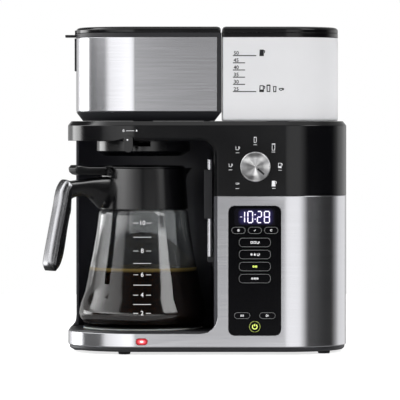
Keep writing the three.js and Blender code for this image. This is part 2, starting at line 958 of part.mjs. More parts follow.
// Moves a point of the bay's outline outwards from the centre of its round corner
function growCorner(p, grow) {
  const centre = new THREE.Vector2(bayRight - bayCornerRadius, armBottom - bayCornerRadius);
  const x = Math.max(p.x - centre.x, 0);
  const z = Math.max(p.y - centre.y, 0);
  const length = Math.hypot(x, z) || 1;
  return { x: p.x + (grow * x) / length, z: p.y + (grow * z) / length };
}

function makeRearCover() {
  const plan = {
    left: columnLeft,
    right: halfWidth,
    front: coverFront - overrun,
    back: bodyDepth,
    radii: [squareCornerRadius, squareCornerRadius, rearRadius, rearCornerRadius],
    steps: [tightSteps, tightSteps, middleSteps, middleSteps],
  };
  const outer = straightStack(plan, 0, columnBottom, columnTop);
  const insidePlan = { ...plan, front: coverFront - 2 * overrun };
  const inside = straightStack(
    insidePlan, coverWall, columnBottom + coverWall, columnTop - coverWall,
  );
  const frontSpace = block(
    -halfWidth - overrun, halfWidth + overrun, -overrun, coverFront + seam, 0, machineHeight,
  );
  const vents = Array.from({ length: ventCount }, (_, k) => {
    const x = heaterX + (k - (ventCount - 1) / 2) * ventPitch;
    const top = columnTop - ventDrop;
    return block(x, x + ventPitch / 2, coverFront, bodyDepth + overrun, top - ventHeight, top);
  });
  place("rear_cover", cut(outer, inside, frontSpace, ...vents), mattBlack());
}

// Arm, fascia and the chassis that carries the brew section and the tank

function makeUpperFascia() {
  const armRing = cut(
    stack(bodyPlan, [
      [armBottom, 0], [armTop - armTopBevel, 0], [armTop, bayBevel],
    ]),
    straightStack(bodyPlan, armWall, armBottom - overrun, armTop + overrun),
  );
  const shell = cut(
    straightStack(bodyPlan, 0, towerTop + seam, armBottom + seam),
    straightStack(bodyPlan, skin, towerTop - overrun, armBottom + overrun),
  );
  const towerSide = block(
    bayRight, halfWidth + overrun, -overrun, coverFront, towerTop, armBottom + overrun,
  );
  const post = cornerPost(0, armWall, towerTop + seam, armBottom + seam);
  const fascia = cut(
    joined(armRing, shell.intersect(towerSide), post, bayCornerFill()),
    bayEdgeCutter(towerTop),
    knobBore(-overrun, 2 * overrun),
  );
  place("upper_fascia", fascia, glossBlack());
}

// The round inside corner between the arm and the tower
function bayCornerFill() {
  const left = bayRight - bayCornerRadius;
  const bottom = armBottom - bayCornerRadius;
  const corner = arcPoints(left, bottom, bayCornerRadius, 0, Math.PI / 2, middleSteps);
  const outline = [
    ...corner,
    new THREE.Vector2(left, armBottom + seam),
    new THREE.Vector2(bayRight + seam, armBottom + seam),
    new THREE.Vector2(bayRight + seam, bottom),
  ];
  return frontExtrusion(outline, 0, armWall);
}

function makeUpperChassis() {
  const inset = armWall + seam;
  const outer = straightStack(bodyPlan, inset, armBottom, chassisTop);
  const inside = straightStack(
    bodyPlan, inset + chassisPlate, armBottom + chassisPlate, chassisTop - chassisPlate,
  );
  const funnelHole = disc(funnelFootRadius, armBottom - overrun, armBottom + overrun, carafeX, carafeY);
  const towerHole = block(
    towerLeft + wiringMarginSide, halfWidth - 2 * wiringMarginSide, 2 * wiringMarginFront,
    bodyDepth - wiringMarginRear, armBottom - overrun, armBottom + overrun,
  );
  const spoutHole = disc(
    basketThroatRadius + seam, armTop - overrun, armTop + overrun, carafeX, carafeY, hiddenSteps,
  );
  const seatHole = disc(
    seatRadius - seatWall, armTop - overrun, armTop + overrun, valveX, valveY, smallRoundSteps,
  );
  const riserHole = disc(
    riserRadius + seam, armTop - overrun, armTop + overrun, riserX, riserY, smallRoundSteps,
  );
  const chassis = cut(outer, inside, funnelHole, towerHole, spoutHole, seatHole, riserHole);
  place("upper_chassis", chassis, mattBlack());
}

function makeDripFunnel() {
  const top = columnTop;
  const inner = funnelRadius - funnelWall;
  const floorTop = funnelBottom + funnelWall;
  const funnel = turned([
    [0, funnelBottom], [funnelFootRadius, funnelBottom], [funnelRadius, funnelBottom + funnelBevel],
    [funnelRadius, top], [inner, top], [inner, floorTop + funnelBevel],
    [funnelFootRadius - funnelWall, floorTop], [0, floorTop],
  ], carafeX, carafeY);
  const outlet = disc(
    outletRadius, funnelBottom - overrun, top, carafeX, carafeY - outletReach, holeSteps,
  );
  const slotSide = leverWidth / 2 + hingeGap;
  const sweptAngle = THREE.MathUtils.degToRad(-leverAngle);
  const slotLeft = carafeX - funnelRadius * Math.sin(sweptAngle) - slotSide - seam;
  const slotTurn = THREE.MathUtils.degToRad(leverSweep + leverAngle);
  const slotRight = carafeX + funnelRadius * Math.sin(slotTurn) + slotSide + seam;
  const slot = block(
    slotLeft, slotRight, carafeY - funnelRadius - overrun, carafeY - funnelFootRadius + slotSide,
    leverArmTop - leverArmHeight - hingeGap, top + overrun,
  );
  place("drip_funnel", cut(funnel, outlet, slot), glossBlack());
}

function makeDripStop() {
  const group = movingGroup(carafeX, carafeY, 0, leverAngle);
  const shutterBottom = funnelBottom + funnelWall + seam;
  const shutterTop = shutterBottom + shutterThickness;
  const shutter = disc(shutterRadius, shutterBottom, shutterTop);
  const port = disc(outletRadius, shutterBottom - overrun, shutterTop + overrun, 0, -outletReach, holeSteps);
  const hub = disc(leverHubRadius, shutterTop - seam, leverArmTop, 0, 0, smallRoundSteps);
  const arm = block(
    -leverWidth / 2, leverWidth / 2, -leverReach - leverThickness / 2, 0,
    leverArmTop - leverArmHeight, leverArmTop,
  );
  const tab = frontPlate(
    0, armBottom + (tabRise - tabDrop) / 2, leverWidth, tabRise + tabDrop, leverWidth / 2 - seam,
    -leverReach - leverThickness, -leverReach,
  );
  const turnedPort = turnAbout(port, -leverAngle);
  placeLocal("drip_stop_lever", joined(cut(shutter, turnedPort), hub, arm, tab), mattBlack(), group);
}

// Turns a solid about the vertical axis through the origin
function turnAbout(made, degrees) {
  const mesh3 = made.getMesh();
  const geometry = new THREE.BufferGeometry();
  geometry.setAttribute("position", new THREE.BufferAttribute(mesh3.vertProperties, 3));
  geometry.setIndex(new THREE.BufferAttribute(mesh3.triVerts, 1));
  geometry.rotateZ(THREE.MathUtils.degToRad(degrees));
  return solid(geometry);
}

// Controls

function makeButtons() {
  const front = -panelProud - buttonProud;
  const back = front + buttonLength;
  buttonList().forEach(([name, x, z, width, height, radius]) => {
    const group = movingGroup(x, front, z);
    place(name, frontPlate(x, z, width, height, radius, front, back), glossBlack(), group);
  });
}

function buttonList() {
  const list = [];
  const smallRadius = programButtonHeight / 2 - seam;
  const programPitch = programButtonWidth + programButtonSpace;
  const brewPitch = brewButtonHeight + brewButtonSpace;
  const settingShift = (settingButtonWidth + settingButtonSpace) / 2;
  for (let k = 0; k < programButtonCount; k++)
    list.push(["program_button_" + (k + 1), panelX + (k - (programButtonCount - 1) / 2) * programPitch,
      panelTop - programButtonDrop, programButtonWidth, programButtonHeight, smallRadius]);
  for (let k = 0; k < brewButtonCount; k++)
    list.push(["brew_button_" + (k + 1), panelX, panelTop - brewButtonDrop - k * brewPitch,
      brewButtonWidth, brewButtonHeight, brewButtonRadius]);
  [-settingShift, settingShift].forEach((shift, k) =>
    list.push(["setting_button_" + (k + 1), panelX + shift, panelBottom + settingButtonRise,
      settingButtonWidth, settingButtonHeight, settingButtonHeight / 2 - seam]));
  list.push(["power_button", panelX, panelBottom + powerButtonRise, powerButtonDiameter,
    powerButtonDiameter, powerButtonDiameter / 2 - seam]);
  return list;
}

function makeControlPanel() {
  const plate = panelWindow(0, -panelProud, panelBack);
  const holes = buttonList().map(([, x, z, width, height, radius]) =>
    frontPlate(
      x, z, width + 2 * buttonGap, height + 2 * buttonGap, radius + buttonGap, -overrun, overrun,
    ),
  );
  place("control_panel", cut(plate, ...holes), glossBlack());
  const display = frontPlate(
    panelX, panelTop - displayDrop, displayWidth, displayHeight, squareCornerRadius, panelBack + seam,
    boardFront + boardThickness / 2, tightSteps,
  );
  const bottom = columnBottom + boardMargin;
  const top = panelTop - boardMargin;
  const board = block(
    panelX - panelWidth / 2 + boardMargin, panelX + panelWidth / 2 - boardMargin, boardFront,
    boardFront + boardThickness, bottom, top,
  );
  place("control_board", joined(board, display), paint(0x1f5a36, 0.6, 0));
}

function makeKnob() {
  const group = movingGroup(knobX, 0, knobZ);
  const back = -knobStandOff;
  const faceRadius = knobRadius - knobRimWidth;
  const profile = [
    [shaftRadius + seam, 0], [knobRadius, 0], [knobRadius, knobDepth - knobStandOff - knobRimBevel],
    [knobRadius - knobRimBevel, knobDepth - knobStandOff],
    [faceRadius + knobRimBevel, knobDepth - knobStandOff],
    [faceRadius, knobDepth - knobStandOff - knobRimBevel],
    [0, knobDepth - knobStandOff - knobRimBevel + knobDish], [0, shaftEngagement + seam],
    [shaftRadius + seam, shaftEngagement + seam],
  ];
  const points = profile.map(([radius, height]) => new THREE.Vector2(radius, height));
  points.push(points[0].clone());
  const geometry = new THREE.LatheGeometry(points, roundSteps);
  geometry.rotateX(Math.PI);
  geometry.translate(knobX, back, knobZ);
  place("size_knob", solid(geometry), steel(), group);
  const shaftFront = back - shaftEngagement;
  const shaftBack = boardFront + encoderDepth / 2;
  place("knob_shaft", barY(shaftRadius, shaftFront, shaftBack, knobX, knobZ), aluminium(), group);
  const encoder = cut(
    block(
      knobX - encoderWidth / 2, knobX + encoderWidth / 2, boardFront, boardFront + encoderDepth,
      knobZ - encoderWidth / 2, knobZ + encoderWidth / 2,
    ),
    barY(shaftRadius + seam, boardFront - overrun, shaftBack + seam, knobX, knobZ),
  );
  place("knob_encoder", encoder, mattBlack());
}

// Cup shelf that folds down over the warming plate

function makeCupShelf() {
  const group = movingGroup(shelfPivotX, shelfFront, shelfPivotZ);
  const left = shelfPivotX - shelfThickness / 2;
  const right = shelfPivotX + shelfThickness / 2;
  const board = block(
    left, right, shelfFront + shelfTrimDepth + seam, shelfBack, shelfPivotZ, shelfTop,
  );
  const barrel = barY(
    shelfBarrelRadius, shelfFront + shelfTrimDepth + seam, shelfBack, shelfPivotX, shelfPivotZ,
  );
  const bore = barY(
    shelfPinRadius + seam, shelfFront - overrun, shelfBack + overrun, shelfPivotX, shelfPivotZ,
  );
  place("cup_shelf", cut(joined(board, barrel), bore), glossBlack(), group);
  const trim = disc(
    shelfThickness / 2, shelfPivotZ + shelfBarrelRadius, shelfTop, shelfPivotX,
    shelfFront + shelfThickness / 2, smallRoundSteps,
  ).intersect(block(left, right, shelfFront, shelfFront + shelfTrimDepth, shelfPivotZ, shelfTop));
  place("shelf_trim", trim, steel(), group);
  const pullFront = shelfFront - seam - pullWall;
  const clip = block(left - pullProud, right, pullFront, shelfFront + pullDepth, pullBottom, pullTop);
  const clipSpace = block(
    left - seam, right + overrun, shelfFront - seam, shelfFront + pullDepth + overrun,
    pullBottom - overrun, pullTop + overrun,
  );
  place("shelf_pull", cut(clip, clipSpace), mattBlack(), group);
  const pinFront = shelfFront - shelfEarWidth - seam;
  const pinBack = shelfBack + shelfEarWidth + seam;
  const pin = barY(shelfPinRadius, pinFront, pinBack, shelfPivotX, shelfPivotZ, holeSteps);
  const stripRight = bayRight - seam;
  const strip = block(
    stripRight - shelfStripThickness, stripRight, pinFront, pinBack,
    shelfPivotZ - shelfStripHeight / 2, shelfPivotZ + shelfStripHeight / 2,
  );
  const ears = [pinFront, pinBack - shelfEarWidth].map((y) =>
    joined(
      barY(shelfEarRadius, y, y + shelfEarWidth, shelfPivotX, shelfPivotZ),
      block(
        shelfPivotX, stripRight, y, y + shelfEarWidth, shelfPivotZ - shelfEarRadius,
        shelfPivotZ + shelfEarRadius,
      ),
    ),
  );
  place("shelf_bracket", joined(strip, ...ears, pin), mattBlack());
}

// Brew section

function makeBrewHousing() {
  const core = stack(brewPlan, [
    [upperBottom, skirtTaper], [skirtTop - seam / 2, 0], [skirtTop - seam / 2, coreInset],
    [wrapTop + seam / 2, coreInset], [wrapTop + seam / 2, 0], [rimTop, 0],
  ]);
  const post = straightStack(brewPlan, 0, skirtTop - seam, wrapTop + seam)
    .intersect(block(wrapRight + seam, brewRight + overrun, 0, bodyDepth, 0, machineHeight));
  const inset = coreInset + upperWall;
  const inside = stack(brewPlan, [
    [upperBottom + brewFloor, skirtTaper + upperWall], [skirtTop, inset],
    [brewDeckZ - upperWall, inset],
  ]);
  const topSpace = straightStack(brewPlan, inset, brewDeckZ, rimTop + overrun);
  const well = disc(basketWellRadius, brewDeckZ - overrun, rimTop, carafeX, carafeY);
  const spoutHole = disc(
    basketThroatRadius + seam, upperBottom - overrun, upperBottom + overrun, carafeX, carafeY,
    hiddenSteps,
  );
  const riserHole = disc(
    riserRadius + seam, upperBottom - overrun, rimTop + overrun, riserX, riserY, smallRoundSteps,
  );
  const brewCentre = (brewLeft + brewRight) / 2;
  const housing = joined(
    cut(joined(core, post), inside, topSpace, well, spoutHole, riserHole),
    ...fixedEars(brewCentre),
  );
  place("brew_housing", cut(housing, pinBore(brewCentre)), mattBlack());
}

function makeBrewWrap() {
  const outer = stack(brewPlan, [
    [skirtTop + seam, wrapBevel], [skirtTop + seam + wrapBevel, 0], [wrapTop - seam / 2, 0],
  ]);
  const inner = straightStack(brewPlan, wrapSkin, skirtTop - overrun, wrapTop + overrun);
  const reach = block(
    -halfWidth, wrapRight, 0, coverFront - upperRearRadius, skirtTop - overrun, wrapTop + overrun,
  );
  place("brew_wrap", cut(outer, inner).intersect(reach), steel());
  const gripRight = brewLeft - seam;
  const grip = block(
    gripRight - gripX, gripRight, gripY - gripWidth / 2, gripY + gripWidth / 2,
    wrapTop - gripHeight, wrapTop,
  );
  place("side_grip", grip, mattBlack());
}

function makeFilterBasket() {
  const group = movingGroup(carafeX, carafeY, brewDeckZ);
  const flangeBottom = brewDeckZ + seam;
  const flangeTop = flangeBottom + basketFlangeHeight;
  const wallRadius = basketWellRadius - seam - hingeGap;
  const lowRadius = wallRadius - basketDraft;
  const basket = turned([
    [basketFlangeRadius, flangeTop], [basketFlangeRadius, flangeBottom], [wallRadius, flangeBottom],
    [lowRadius, basketShoulderZ], [basketThroatRadius, basketThroatZ],
    [basketSpoutRadius, basketThroatZ - basketWall], [basketSpoutRadius, basketSpoutBottom],
    [basketSpoutRadius - basketWall, basketSpoutBottom],
    [basketSpoutRadius - basketWall, basketThroatZ],
    [lowRadius - basketWall, basketShoulderZ + basketWall], [wallRadius - basketWall, flangeTop],
  ], carafeX, carafeY);
  place("filter_basket", basket, mattBlack(), group);
}

function lidSolid(plan) {
  const top = machineHeight;
  const outer = stack(plan, [
    [lidBottom, 0], [lidBottom + lidEdge, 0], [top - lidRoundRise / 2, lidRoundInset],
    [top, lidTopInset],
  ]);
  const inside = straightStack(plan, lidEdge, lidBottom - overrun, top - lidSkin);
  return cut(outer, inside);
}

function makeBrewLid() {
  const centre = (brewLeft + brewRight) / 2;
  const group = movingGroup(centre, hingeY, hingeZ);
  const tabLeft = brewLeft - lidTabReach;
  const tab = block(
    tabLeft, brewLeft - seam, lidTabY - lidTabWidth / 2, lidTabY + lidTabWidth / 2, lidTabZ,
    lidTabZ + lidTabThickness,
  );
  const riser = block(
    brewLeft - seam - wrapSkin, brewLeft - seam, lidTabY - lidTabWidth / 2,
    lidTabY + lidTabWidth / 2, lidTabZ, lidBottom + lidEdge,
  );
  const root = block(
    brewLeft - seam - wrapSkin, brewLeft + lidEdge / 2, lidTabY - lidTabWidth / 2,
    lidTabY + lidTabWidth / 2, lidBottom, lidBottom + lidEdge,
  );
  const lid = joined(lidSolid(brewLidPlan), tab, riser, root, ...lidEars(centre));
  place("brew_lid", joined(lid, ...trunnions(centre)), glossBlack(), group);
  const top = machineHeight - lidSkin - seam;
  const shower = turned([
    [0, top - showerHeight], [showerRadius - lidEdge, top - showerHeight],
    [showerRadius, top - showerHeight / 2], [showerRadius, top], [0, top],
  ], carafeX, carafeY, roundSteps / 2);
  const holes = Array.from({ length: showerHoleCount }, (_, k) => {
    const angle = (2 * Math.PI * k) / showerHoleCount;
    return disc(
      showerHoleRadius, top - showerHeight - overrun, top - showerHeight / 2,
      carafeX + showerHoleReach * Math.cos(angle), carafeY + showerHoleReach * Math.sin(angle), 6,
    );
  });
  place("shower_head", cut(shower, ...holes), mattBlack(), group);
}

// Hinge ears: the fixed pair stands outside the pair on the lid
function earPair(centre, inner, webBottom, webTop) {
  return [-1, 1].map((side) => {
    const near = centre + side * inner;
    const far = near + side * hingeEarWidth;
    const [x0, x1] = [Math.min(near, far), Math.max(near, far)];
    return joined(
      barX(hingeRadius, x0, x1, hingeY, hingeZ),
      block(x0, x1, upperBack - hingeGap, hingeY, webBottom, webTop),
    );
  });
}

function fixedEars(centre) {
  return earPair(centre, hingeHalfSpan, hingeZ - hingeRadius, rimTop - hingeGap);
}

function lidEars(centre) {
  return earPair(
    centre, hingeHalfSpan - hingeEarWidth - hingeGap, hingeZ + hingeGap, hingeZ + hingeRadius,
  );
}

// Moulded studs on the lid's ears that turn in the fixed ears
function trunnions(centre) {
  return [-1, 1].map((side) => {
    const near = centre + side * (hingeHalfSpan - hingeEarWidth);
    const far = centre + side * (hingeHalfSpan + hingeEarWidth);
    return barX(hingePinRadius, Math.min(near, far), Math.max(near, far), hingeY, hingeZ, holeSteps);
  });
}

function pinBore(centre) {
  const reach = hingeHalfSpan + hingeEarWidth + overrun;
  return barX(hingePinRadius + seam, centre - reach, centre + reach, hingeY, hingeZ);
}

// Water tank

function makeTank() {
  const group = movingGroup(valveX, valveY, upperBottom);
  const outer = stack(tankPlan, [
    [upperBottom, tankFootInset], [upperBottom + tankFootRise / 3, tankFootInset / 3],
    [upperBottom + tankFootRise, 0], [wrapTop - seam, 0],
  ]);
  const inside = straightStack(tankPlan, tankWall, tankFloorZ + tankFloor, wrapTop + overrun);
  const under = straightStack(
    tankPlan, tankFootInset + tankWall, upperBottom - overrun, tankFloorZ,
  );
  const valveHole = disc(
    valveStemRadius + seam, tankFloorZ - overrun / 2, tankFloorZ + overrun, valveX, valveY,
    smallRoundSteps,
  );
  place("tank_body", cut(outer, inside, under, valveHole), paint(0xe6ecef, 0.35, 0, 0.45), group);
  const rim = cut(
    joined(
      straightStack(tankPlan, 0, wrapTop, rimTop),
      straightStack(tankPlan, tankWall + seam, wrapTop - tankLip, rimTop),
    ),
    straightStack(tankPlan, tankRimWidth, wrapTop - overrun, rimTop + overrun),
  );
  const centre = (tankLeft + tankRight) / 2;
  const rimWithEars = cut(joined(rim, ...fixedEars(centre)), pinBore(centre));
  place("tank_rim", rimWithEars, mattBlack(), group);
  const flangeTop = tankFloorZ + tankFloor + seam + valveFlange;
  const valve = turned([
    [0, flangeTop - valveHeight - valveFlange], [valveStemRadius, flangeTop - valveHeight - valveFlange],
    [valveStemRadius, flangeTop - valveFlange], [valveRadius, flangeTop - valveFlange],
    [valveRadius, flangeTop], [0, flangeTop],
  ], valveX, valveY, smallRoundSteps);
  place("tank_valve", valve, mattBlack(), group);
  const lidGroup = movingGroup(centre, hingeY, hingeZ);
  const lid = joined(lidSolid(tankPlan), ...lidEars(centre));
  place("tank_lid", joined(lid, ...trunnions(centre)), glossBlack(), lidGroup);
}

// The rubber socket in the chassis that the tank's valve stands in
function makeTankSeat() {
  const bottom = chassisTop + seam;
  const seat = turned([
    [valveStemRadius + seam, chassisTop - seatHeight],
    [seatRadius - seatWall - seam, chassisTop - seatHeight],
    [seatRadius - seatWall - seam, bottom], [seatRadius, bottom],
    [seatRadius, bottom + seatWall], [valveStemRadius + seam, bottom + seatWall],
  ], valveX, valveY, smallRoundSteps);
  place("tank_seat", seat, silicone());
}

// Pump, flow heater and hoses

function makeWaterPath() {
  const pumpBottom = panFloorZ + seam;
  const pumpTop = pumpBottom + pumpHeight;
  const pump = joined(
    disc(pumpRadius - sealWidth, pumpBottom, pumpTop, pumpX, pumpY, hiddenSteps),
    disc(pumpRadius, pumpBottom, pumpBottom + pumpHeight / 2, pumpX, pumpY, hiddenSteps),
    disc(pumpNeckRadius, pumpTop - neckHeight, pumpTop + neckHeight, pumpX, pumpY, smallRoundSteps),
    barX(pumpNeckRadius, pumpX - pumpRadius - neckHeight, pumpX, pumpY, pumpBottom + 2 * neckHeight),
  );
  place("water_pump", pump, mattBlack());
  const half = heaterStandWidth / 2;
  const standTop = heaterBottom - seam;
  const stand = cut(
    block(heaterX - half, heaterX + half, heaterY - half, heaterY + half, panFloorZ + seam, standTop),
    block(
      heaterX - half - overrun, heaterX + half + overrun, heaterY - half + housingWall,
      heaterY + half - housingWall, panFloorZ - overrun, standTop - housingWall,
    ),
  );
  place("heater_stand", stand, mattBlack());
  const heaterTop = heaterBottom + heaterHeight;
  const heater = joined(
    disc(heaterRadius, heaterBottom, heaterTop, heaterX, heaterY, hiddenSteps),
    disc(heaterNeckRadius, heaterTop - neckHeight, heaterTop + neckHeight, heaterX, heaterY, smallRoundSteps),
    barX(heaterNeckRadius, heaterX, heaterX + heaterRadius + neckHeight, heaterY, heaterBottom + neckHeight),
  );
  place("flow_heater", heater, aluminium());
  makeHoses(pumpBottom, pumpTop, heaterTop);
}

function makeHoses(pumpBottom, pumpTop, heaterTop) {
  const seatBottom = chassisTop - seatHeight - seam;
  const inlet = hose([
    [valveX, valveY, seatBottom], [valveX, valveY, towerTop],
    [pumpX, pumpY, towerTop - 2 * hoseBend], [pumpX, pumpY, pumpTop + neckHeight + seam],
  ], hoseRadius);
  place("inlet_hose", inlet, silicone());
  const pumpOut = pumpX - pumpRadius - neckHeight - seam;
  const heaterIn = heaterX + heaterRadius + neckHeight + seam;
  const middleX = (pumpOut + heaterIn) / 2;
  const feed = hose([
    [pumpOut, pumpY, pumpBottom + 2 * neckHeight], [middleX, pumpY, pumpBottom + 2 * neckHeight],
    [middleX, heaterY, heaterBottom + neckHeight], [heaterIn, heaterY, heaterBottom + neckHeight],
  ], hoseRadius);
  place("feed_hose", feed, silicone());
  const riserBottom = armBottom + chassisPlate + hoseRadius;
  const riser = cut(
    disc(riserRadius, riserBottom, rimTop - riserBore, riserX, riserY, smallRoundSteps),
    disc(riserBore, riserBottom + riserRadius, rimTop + overrun, riserX, riserY, smallRoundSteps),
  );
  const crossing = riserBottom + hoseRadius;
  const outlet = hose([
    [heaterX, heaterY, heaterTop + neckHeight + seam], [heaterX, heaterY, crossing],
    [riserX, riserY, crossing],
  ], hoseRadius);
  place("outlet_hose", joined(outlet, riser), silicone());
}

function makeCordGland() {
  const wallFace = bodyDepth - coreInset;
  const flangeBack = wallFace + seam;
  const gland = cut(
    joined(
      barY(glandRadius, wallFace - housingWall - glandReach, bodyDepth + glandReach, glandX, glandZ),
      barY(glandFlangeRadius, flangeBack, flangeBack + glandFlange, glandX, glandZ),
    ),
    barY(glandBore, wallFace, bodyDepth + glandReach + overrun, glandX, glandZ, holeSteps),
  );
  place("cord_gland", gland, rubber());
}

// Carafe, built about its own axis with the handle along its +X

function makeCarafe() {
  const group = movingGroup(carafeX, carafeY, 0, carafeTurn);
  placeLocal("carafe_glass", carafeGlass(), paint(0xdfe7e8, 0.05, 0, 0.25), group);
  placeLocal("carafe_collar", carafeCollar(), glossBlack(), group);
  placeLocal("carafe_handle", carafeHandle(), mattBlack(), group);
  placeLocal("handle_strip", handleStrip(), steel(), group);
  const lidGroup = movingGroup(
    carafeX + lidPivotReach * Math.cos(THREE.MathUtils.degToRad(carafeTurn)),
    carafeY + lidPivotReach * Math.sin(THREE.MathUtils.degToRad(carafeTurn)),
    lidPivotZ, carafeTurn,
  );
  const lid = placeLocal("carafe_lid", carafeLid(), glossBlack(), lidGroup);
  lid.position.set(-lidPivotReach, 0, -lidPivotZ);
}

function carafeGlass() {
  const shoulder = collarFootRadius - collarLip;
  const height = collarBottom - seam - glassBottom;
  const curve = new THREE.SplineCurve(
    glassOutlineShares.map(([out, up]) =>
      new THREE.Vector2(shoulder + out * (glassRadius - shoulder), glassBottom + up * height)),
  );
  const inside = (p) => [p.x - glassWall, Math.max(p.y, glassBottom + glassWall)];
  const neck = [glassNeckRadius, glassTop];
  const neckFoot = [glassNeckRadius, collarBottom - seam];
  return turned([
    [0, glassBottom], [glassFootRadius, glassBottom],
    ...curve.getPoints(outerGlassSamples).map((p) => [p.x, p.y]), neckFoot, neck,
    [glassNeckRadius - glassWall, glassTop], [glassNeckRadius - glassWall, collarBottom - seam],
    ...curve.getPoints(innerGlassSamples).reverse().map(inside),
    [glassFootRadius - glassWall, glassBottom + glassWall], [0, glassBottom + glassWall],
  ], 0, 0, glassSteps);
}

// The collar's radius at a height and an angle, with the spout pushed out opposite the handle
function collarRadiusAt(height, angle) {
  const share = (height - collarBottom) / (collarTop - collarBottom);
  const round = collarFootRadius + (collarRadius - collarFootRadius) * share;
  const rise = Math.max(0, 1 - (collarTop - height) / spoutRise);
  const off = Math.abs(angle - Math.PI) / THREE.MathUtils.degToRad(spoutHalfAngle);
  return round + (spoutReach - collarRadius) * rise * Math.exp(-off * off);
}

function collarStack(grow, heights) {
  return ringSolid(
    heights.map((height) =>
      Array.from({ length: glassSteps }, (_, k) => {
        const angle = (2 * Math.PI * k) / glassSteps;
        const radius = collarRadiusAt(Math.min(Math.max(height, collarBottom), collarTop), angle) + grow;
        return [radius * Math.cos(angle), radius * Math.sin(angle), height];
      }),
    ),
  );
}

function carafeCollar() {
  const start = collarTop - spoutRise;
  const middle = (start + collarTop) / 2;
  const outer = collarStack(0, [collarBottom, start, middle, collarTop]);
  const inner = collarStack(-collarWall, [glassTop + seam, start, middle, collarTop + overrun]);
  const glassSpace = disc(
    glassNeckRadius + seam, collarBottom - overrun, glassTop + seam, 0, 0, glassSteps,
  );
  const ears = [-1, 1].map((side) => {
    const near = side * (thumbWidth / 2 + hingeGap);
    return lidEar(Math.min(near, near + side * lidEarWidth));
  });
  return cut(joined(cut(outer, inner, glassSpace), ...ears), lidBore());
}

// One ear at the collar's edge that holds the lid's pin
function lidEar(y) {
  const post = block(
    collarRadius - collarWall / 2, lidPivotReach + lidEarRadius, y, y + lidEarWidth,
    lidPivotZ - 2 * lidEarRadius, lidPivotZ,
  );
  return joined(post, barY(lidEarRadius, y, y + lidEarWidth, lidPivotReach, lidPivotZ));
}

function lidBore() {
  return barY(lidPinRadius + seam, -thumbWidth, thumbWidth, lidPivotReach, lidPivotZ, holeSteps);
}

function lidPin() {
  const reach = thumbWidth / 2 + hingeGap + lidEarWidth;
  return barY(lidPinRadius, -reach, reach, lidPivotReach, lidPivotZ, holeSteps);
}

function handlePoint([reachShare, heightShare]) {
  return new THREE.Vector2(
    collarRadius + reachShare * (handleReach - collarRadius),
    handleBottom + heightShare * (handleTop - handleBottom),
  );
}

function handleEdge(shares, samples) {
  return new THREE.SplineCurve(shares.map(handlePoint)).getPoints(samples);
}

// Moves each point of an open line sideways by a distance
function offsetLine(points, distance) {
  return points.map((p, i) => {
    const before = points[Math.max(i - 1, 0)];
    const after = points[Math.min(i + 1, points.length - 1)];
    const along = after.clone().sub(before).normalize();
    return new THREE.Vector2(p.x + along.y * distance, p.y - along.x * distance);
  });
}

// Rings across the handle, from the root inside the collar over the arm and down the grip
function carafeHandle() {
  const outer = offsetLine(handleEdge(handleOuterShares, handleSamples), stripThickness + seam);
  const inner = handleEdge(handleInnerShares, handleSamples);
  const [toeOut, toeOutUp, toeIn, toeInUp] = handleToeShares;
  const rows = [
    ...handleArmShares.map(([out, outUp, into, inUp]) => [
      handlePoint([out, outUp]), handlePoint([into, inUp]),
    ]),
    ...outer.map((p, k) => [p, inner[k]]),
    [handlePoint([toeOut, toeOutUp]), handlePoint([toeIn, toeInUp])],
  ];
  const across = [
    ...handleSectionShares.map(([depth, side]) => [depth, side]),
    ...handleSectionShares.map(([depth, side]) => [depth, -side]).reverse(),
  ];
  const rings = rows.map(([out, into]) =>
    across.map(([depth, side]) => {
      const p = out.clone().lerp(into, depth);
      return [p.x, (side * handleWidth) / 2, p.y];
    }),
  );
  const collarSpace = collarStack(
    seam, [collarBottom - overrun, collarBottom, collarTop, collarTop + overrun],
  );
  return cut(ringSolid(rings), collarSpace);
}

// An outline in reach and height, extruded sideways about the carafe's middle plane
function sideExtrusion(outline, width, bevel) {
  return frontExtrusion(outline, -width / 2 + bevel, width / 2 - bevel, {
    bevelEnabled: bevel > 0,
    bevelThickness: bevel,
    bevelSize: bevel,
    bevelOffset: -bevel,
    bevelSegments: 2,
  });
}

function handleStrip() {
  const outer = handleEdge(handleOuterShares, handleSamples);
  const inner = offsetLine(outer, stripThickness);
  const stripWidth = handleWidth * handleSectionShares[0][1];
  return sideExtrusion([...outer, ...inner.reverse()], stripWidth, 0);
}

function carafeLid() {
  const top = collarTop + seam;
  const radius = collarRadius - seam;
  const disk = turned([
    [0, top], [radius, top], [radius, top + lidThickness / 2], [radius - lidThickness, top + lidThickness],
    [lidInletRadius, top + lidThickness], [lidInletRadius - lidThickness, top + lidThickness - lidInletDepth],
    [0, top + lidThickness - lidInletDepth],
  ], 0, 0, glassSteps);
  const plugRadius = collarRadius - collarWall - lidPlugGap;
  const plug = turned([
    [plugRadius - lidThickness, top - lidPlugDepth], [plugRadius, top - lidPlugDepth],
    [plugRadius, top + seam], [plugRadius - lidThickness, top + seam],
  ], 0, 0, glassSteps);
  const thumbOutline = thumbOutlineShares.map(([out, up]) =>
    new THREE.Vector2(lidPivotReach + out * thumbLength, thumbBottom + up * thumbHeight));
  const thumb = sideExtrusion(thumbOutline, thumbWidth, thumbBevel);
  const bridge = block(
    plugRadius - lidThickness, lidPivotReach + lidEarRadius, -thumbWidth / 2, thumbWidth / 2, top, thumbTop,
  );
  const collarSpace = cut(
    collarStack(seam + lidPlugGap / 2, [lidPivotZ - overrun, top]),
    block(-handleReach, collarRadius - collarWall - lidPlugGap, -handleReach, handleReach, 0, machineHeight),
  );
  const plugTrim = block(plugRadius - 2 * lidThickness, plugRadius + lidThickness, -thumbWidth,
    thumbWidth, top - lidPlugDepth - overrun, top - lidThickness / 2);
  const lever = cut(joined(thumb, bridge), collarSpace);
  return joined(cut(joined(disk, plug), plugTrim), lever, lidPin());
}

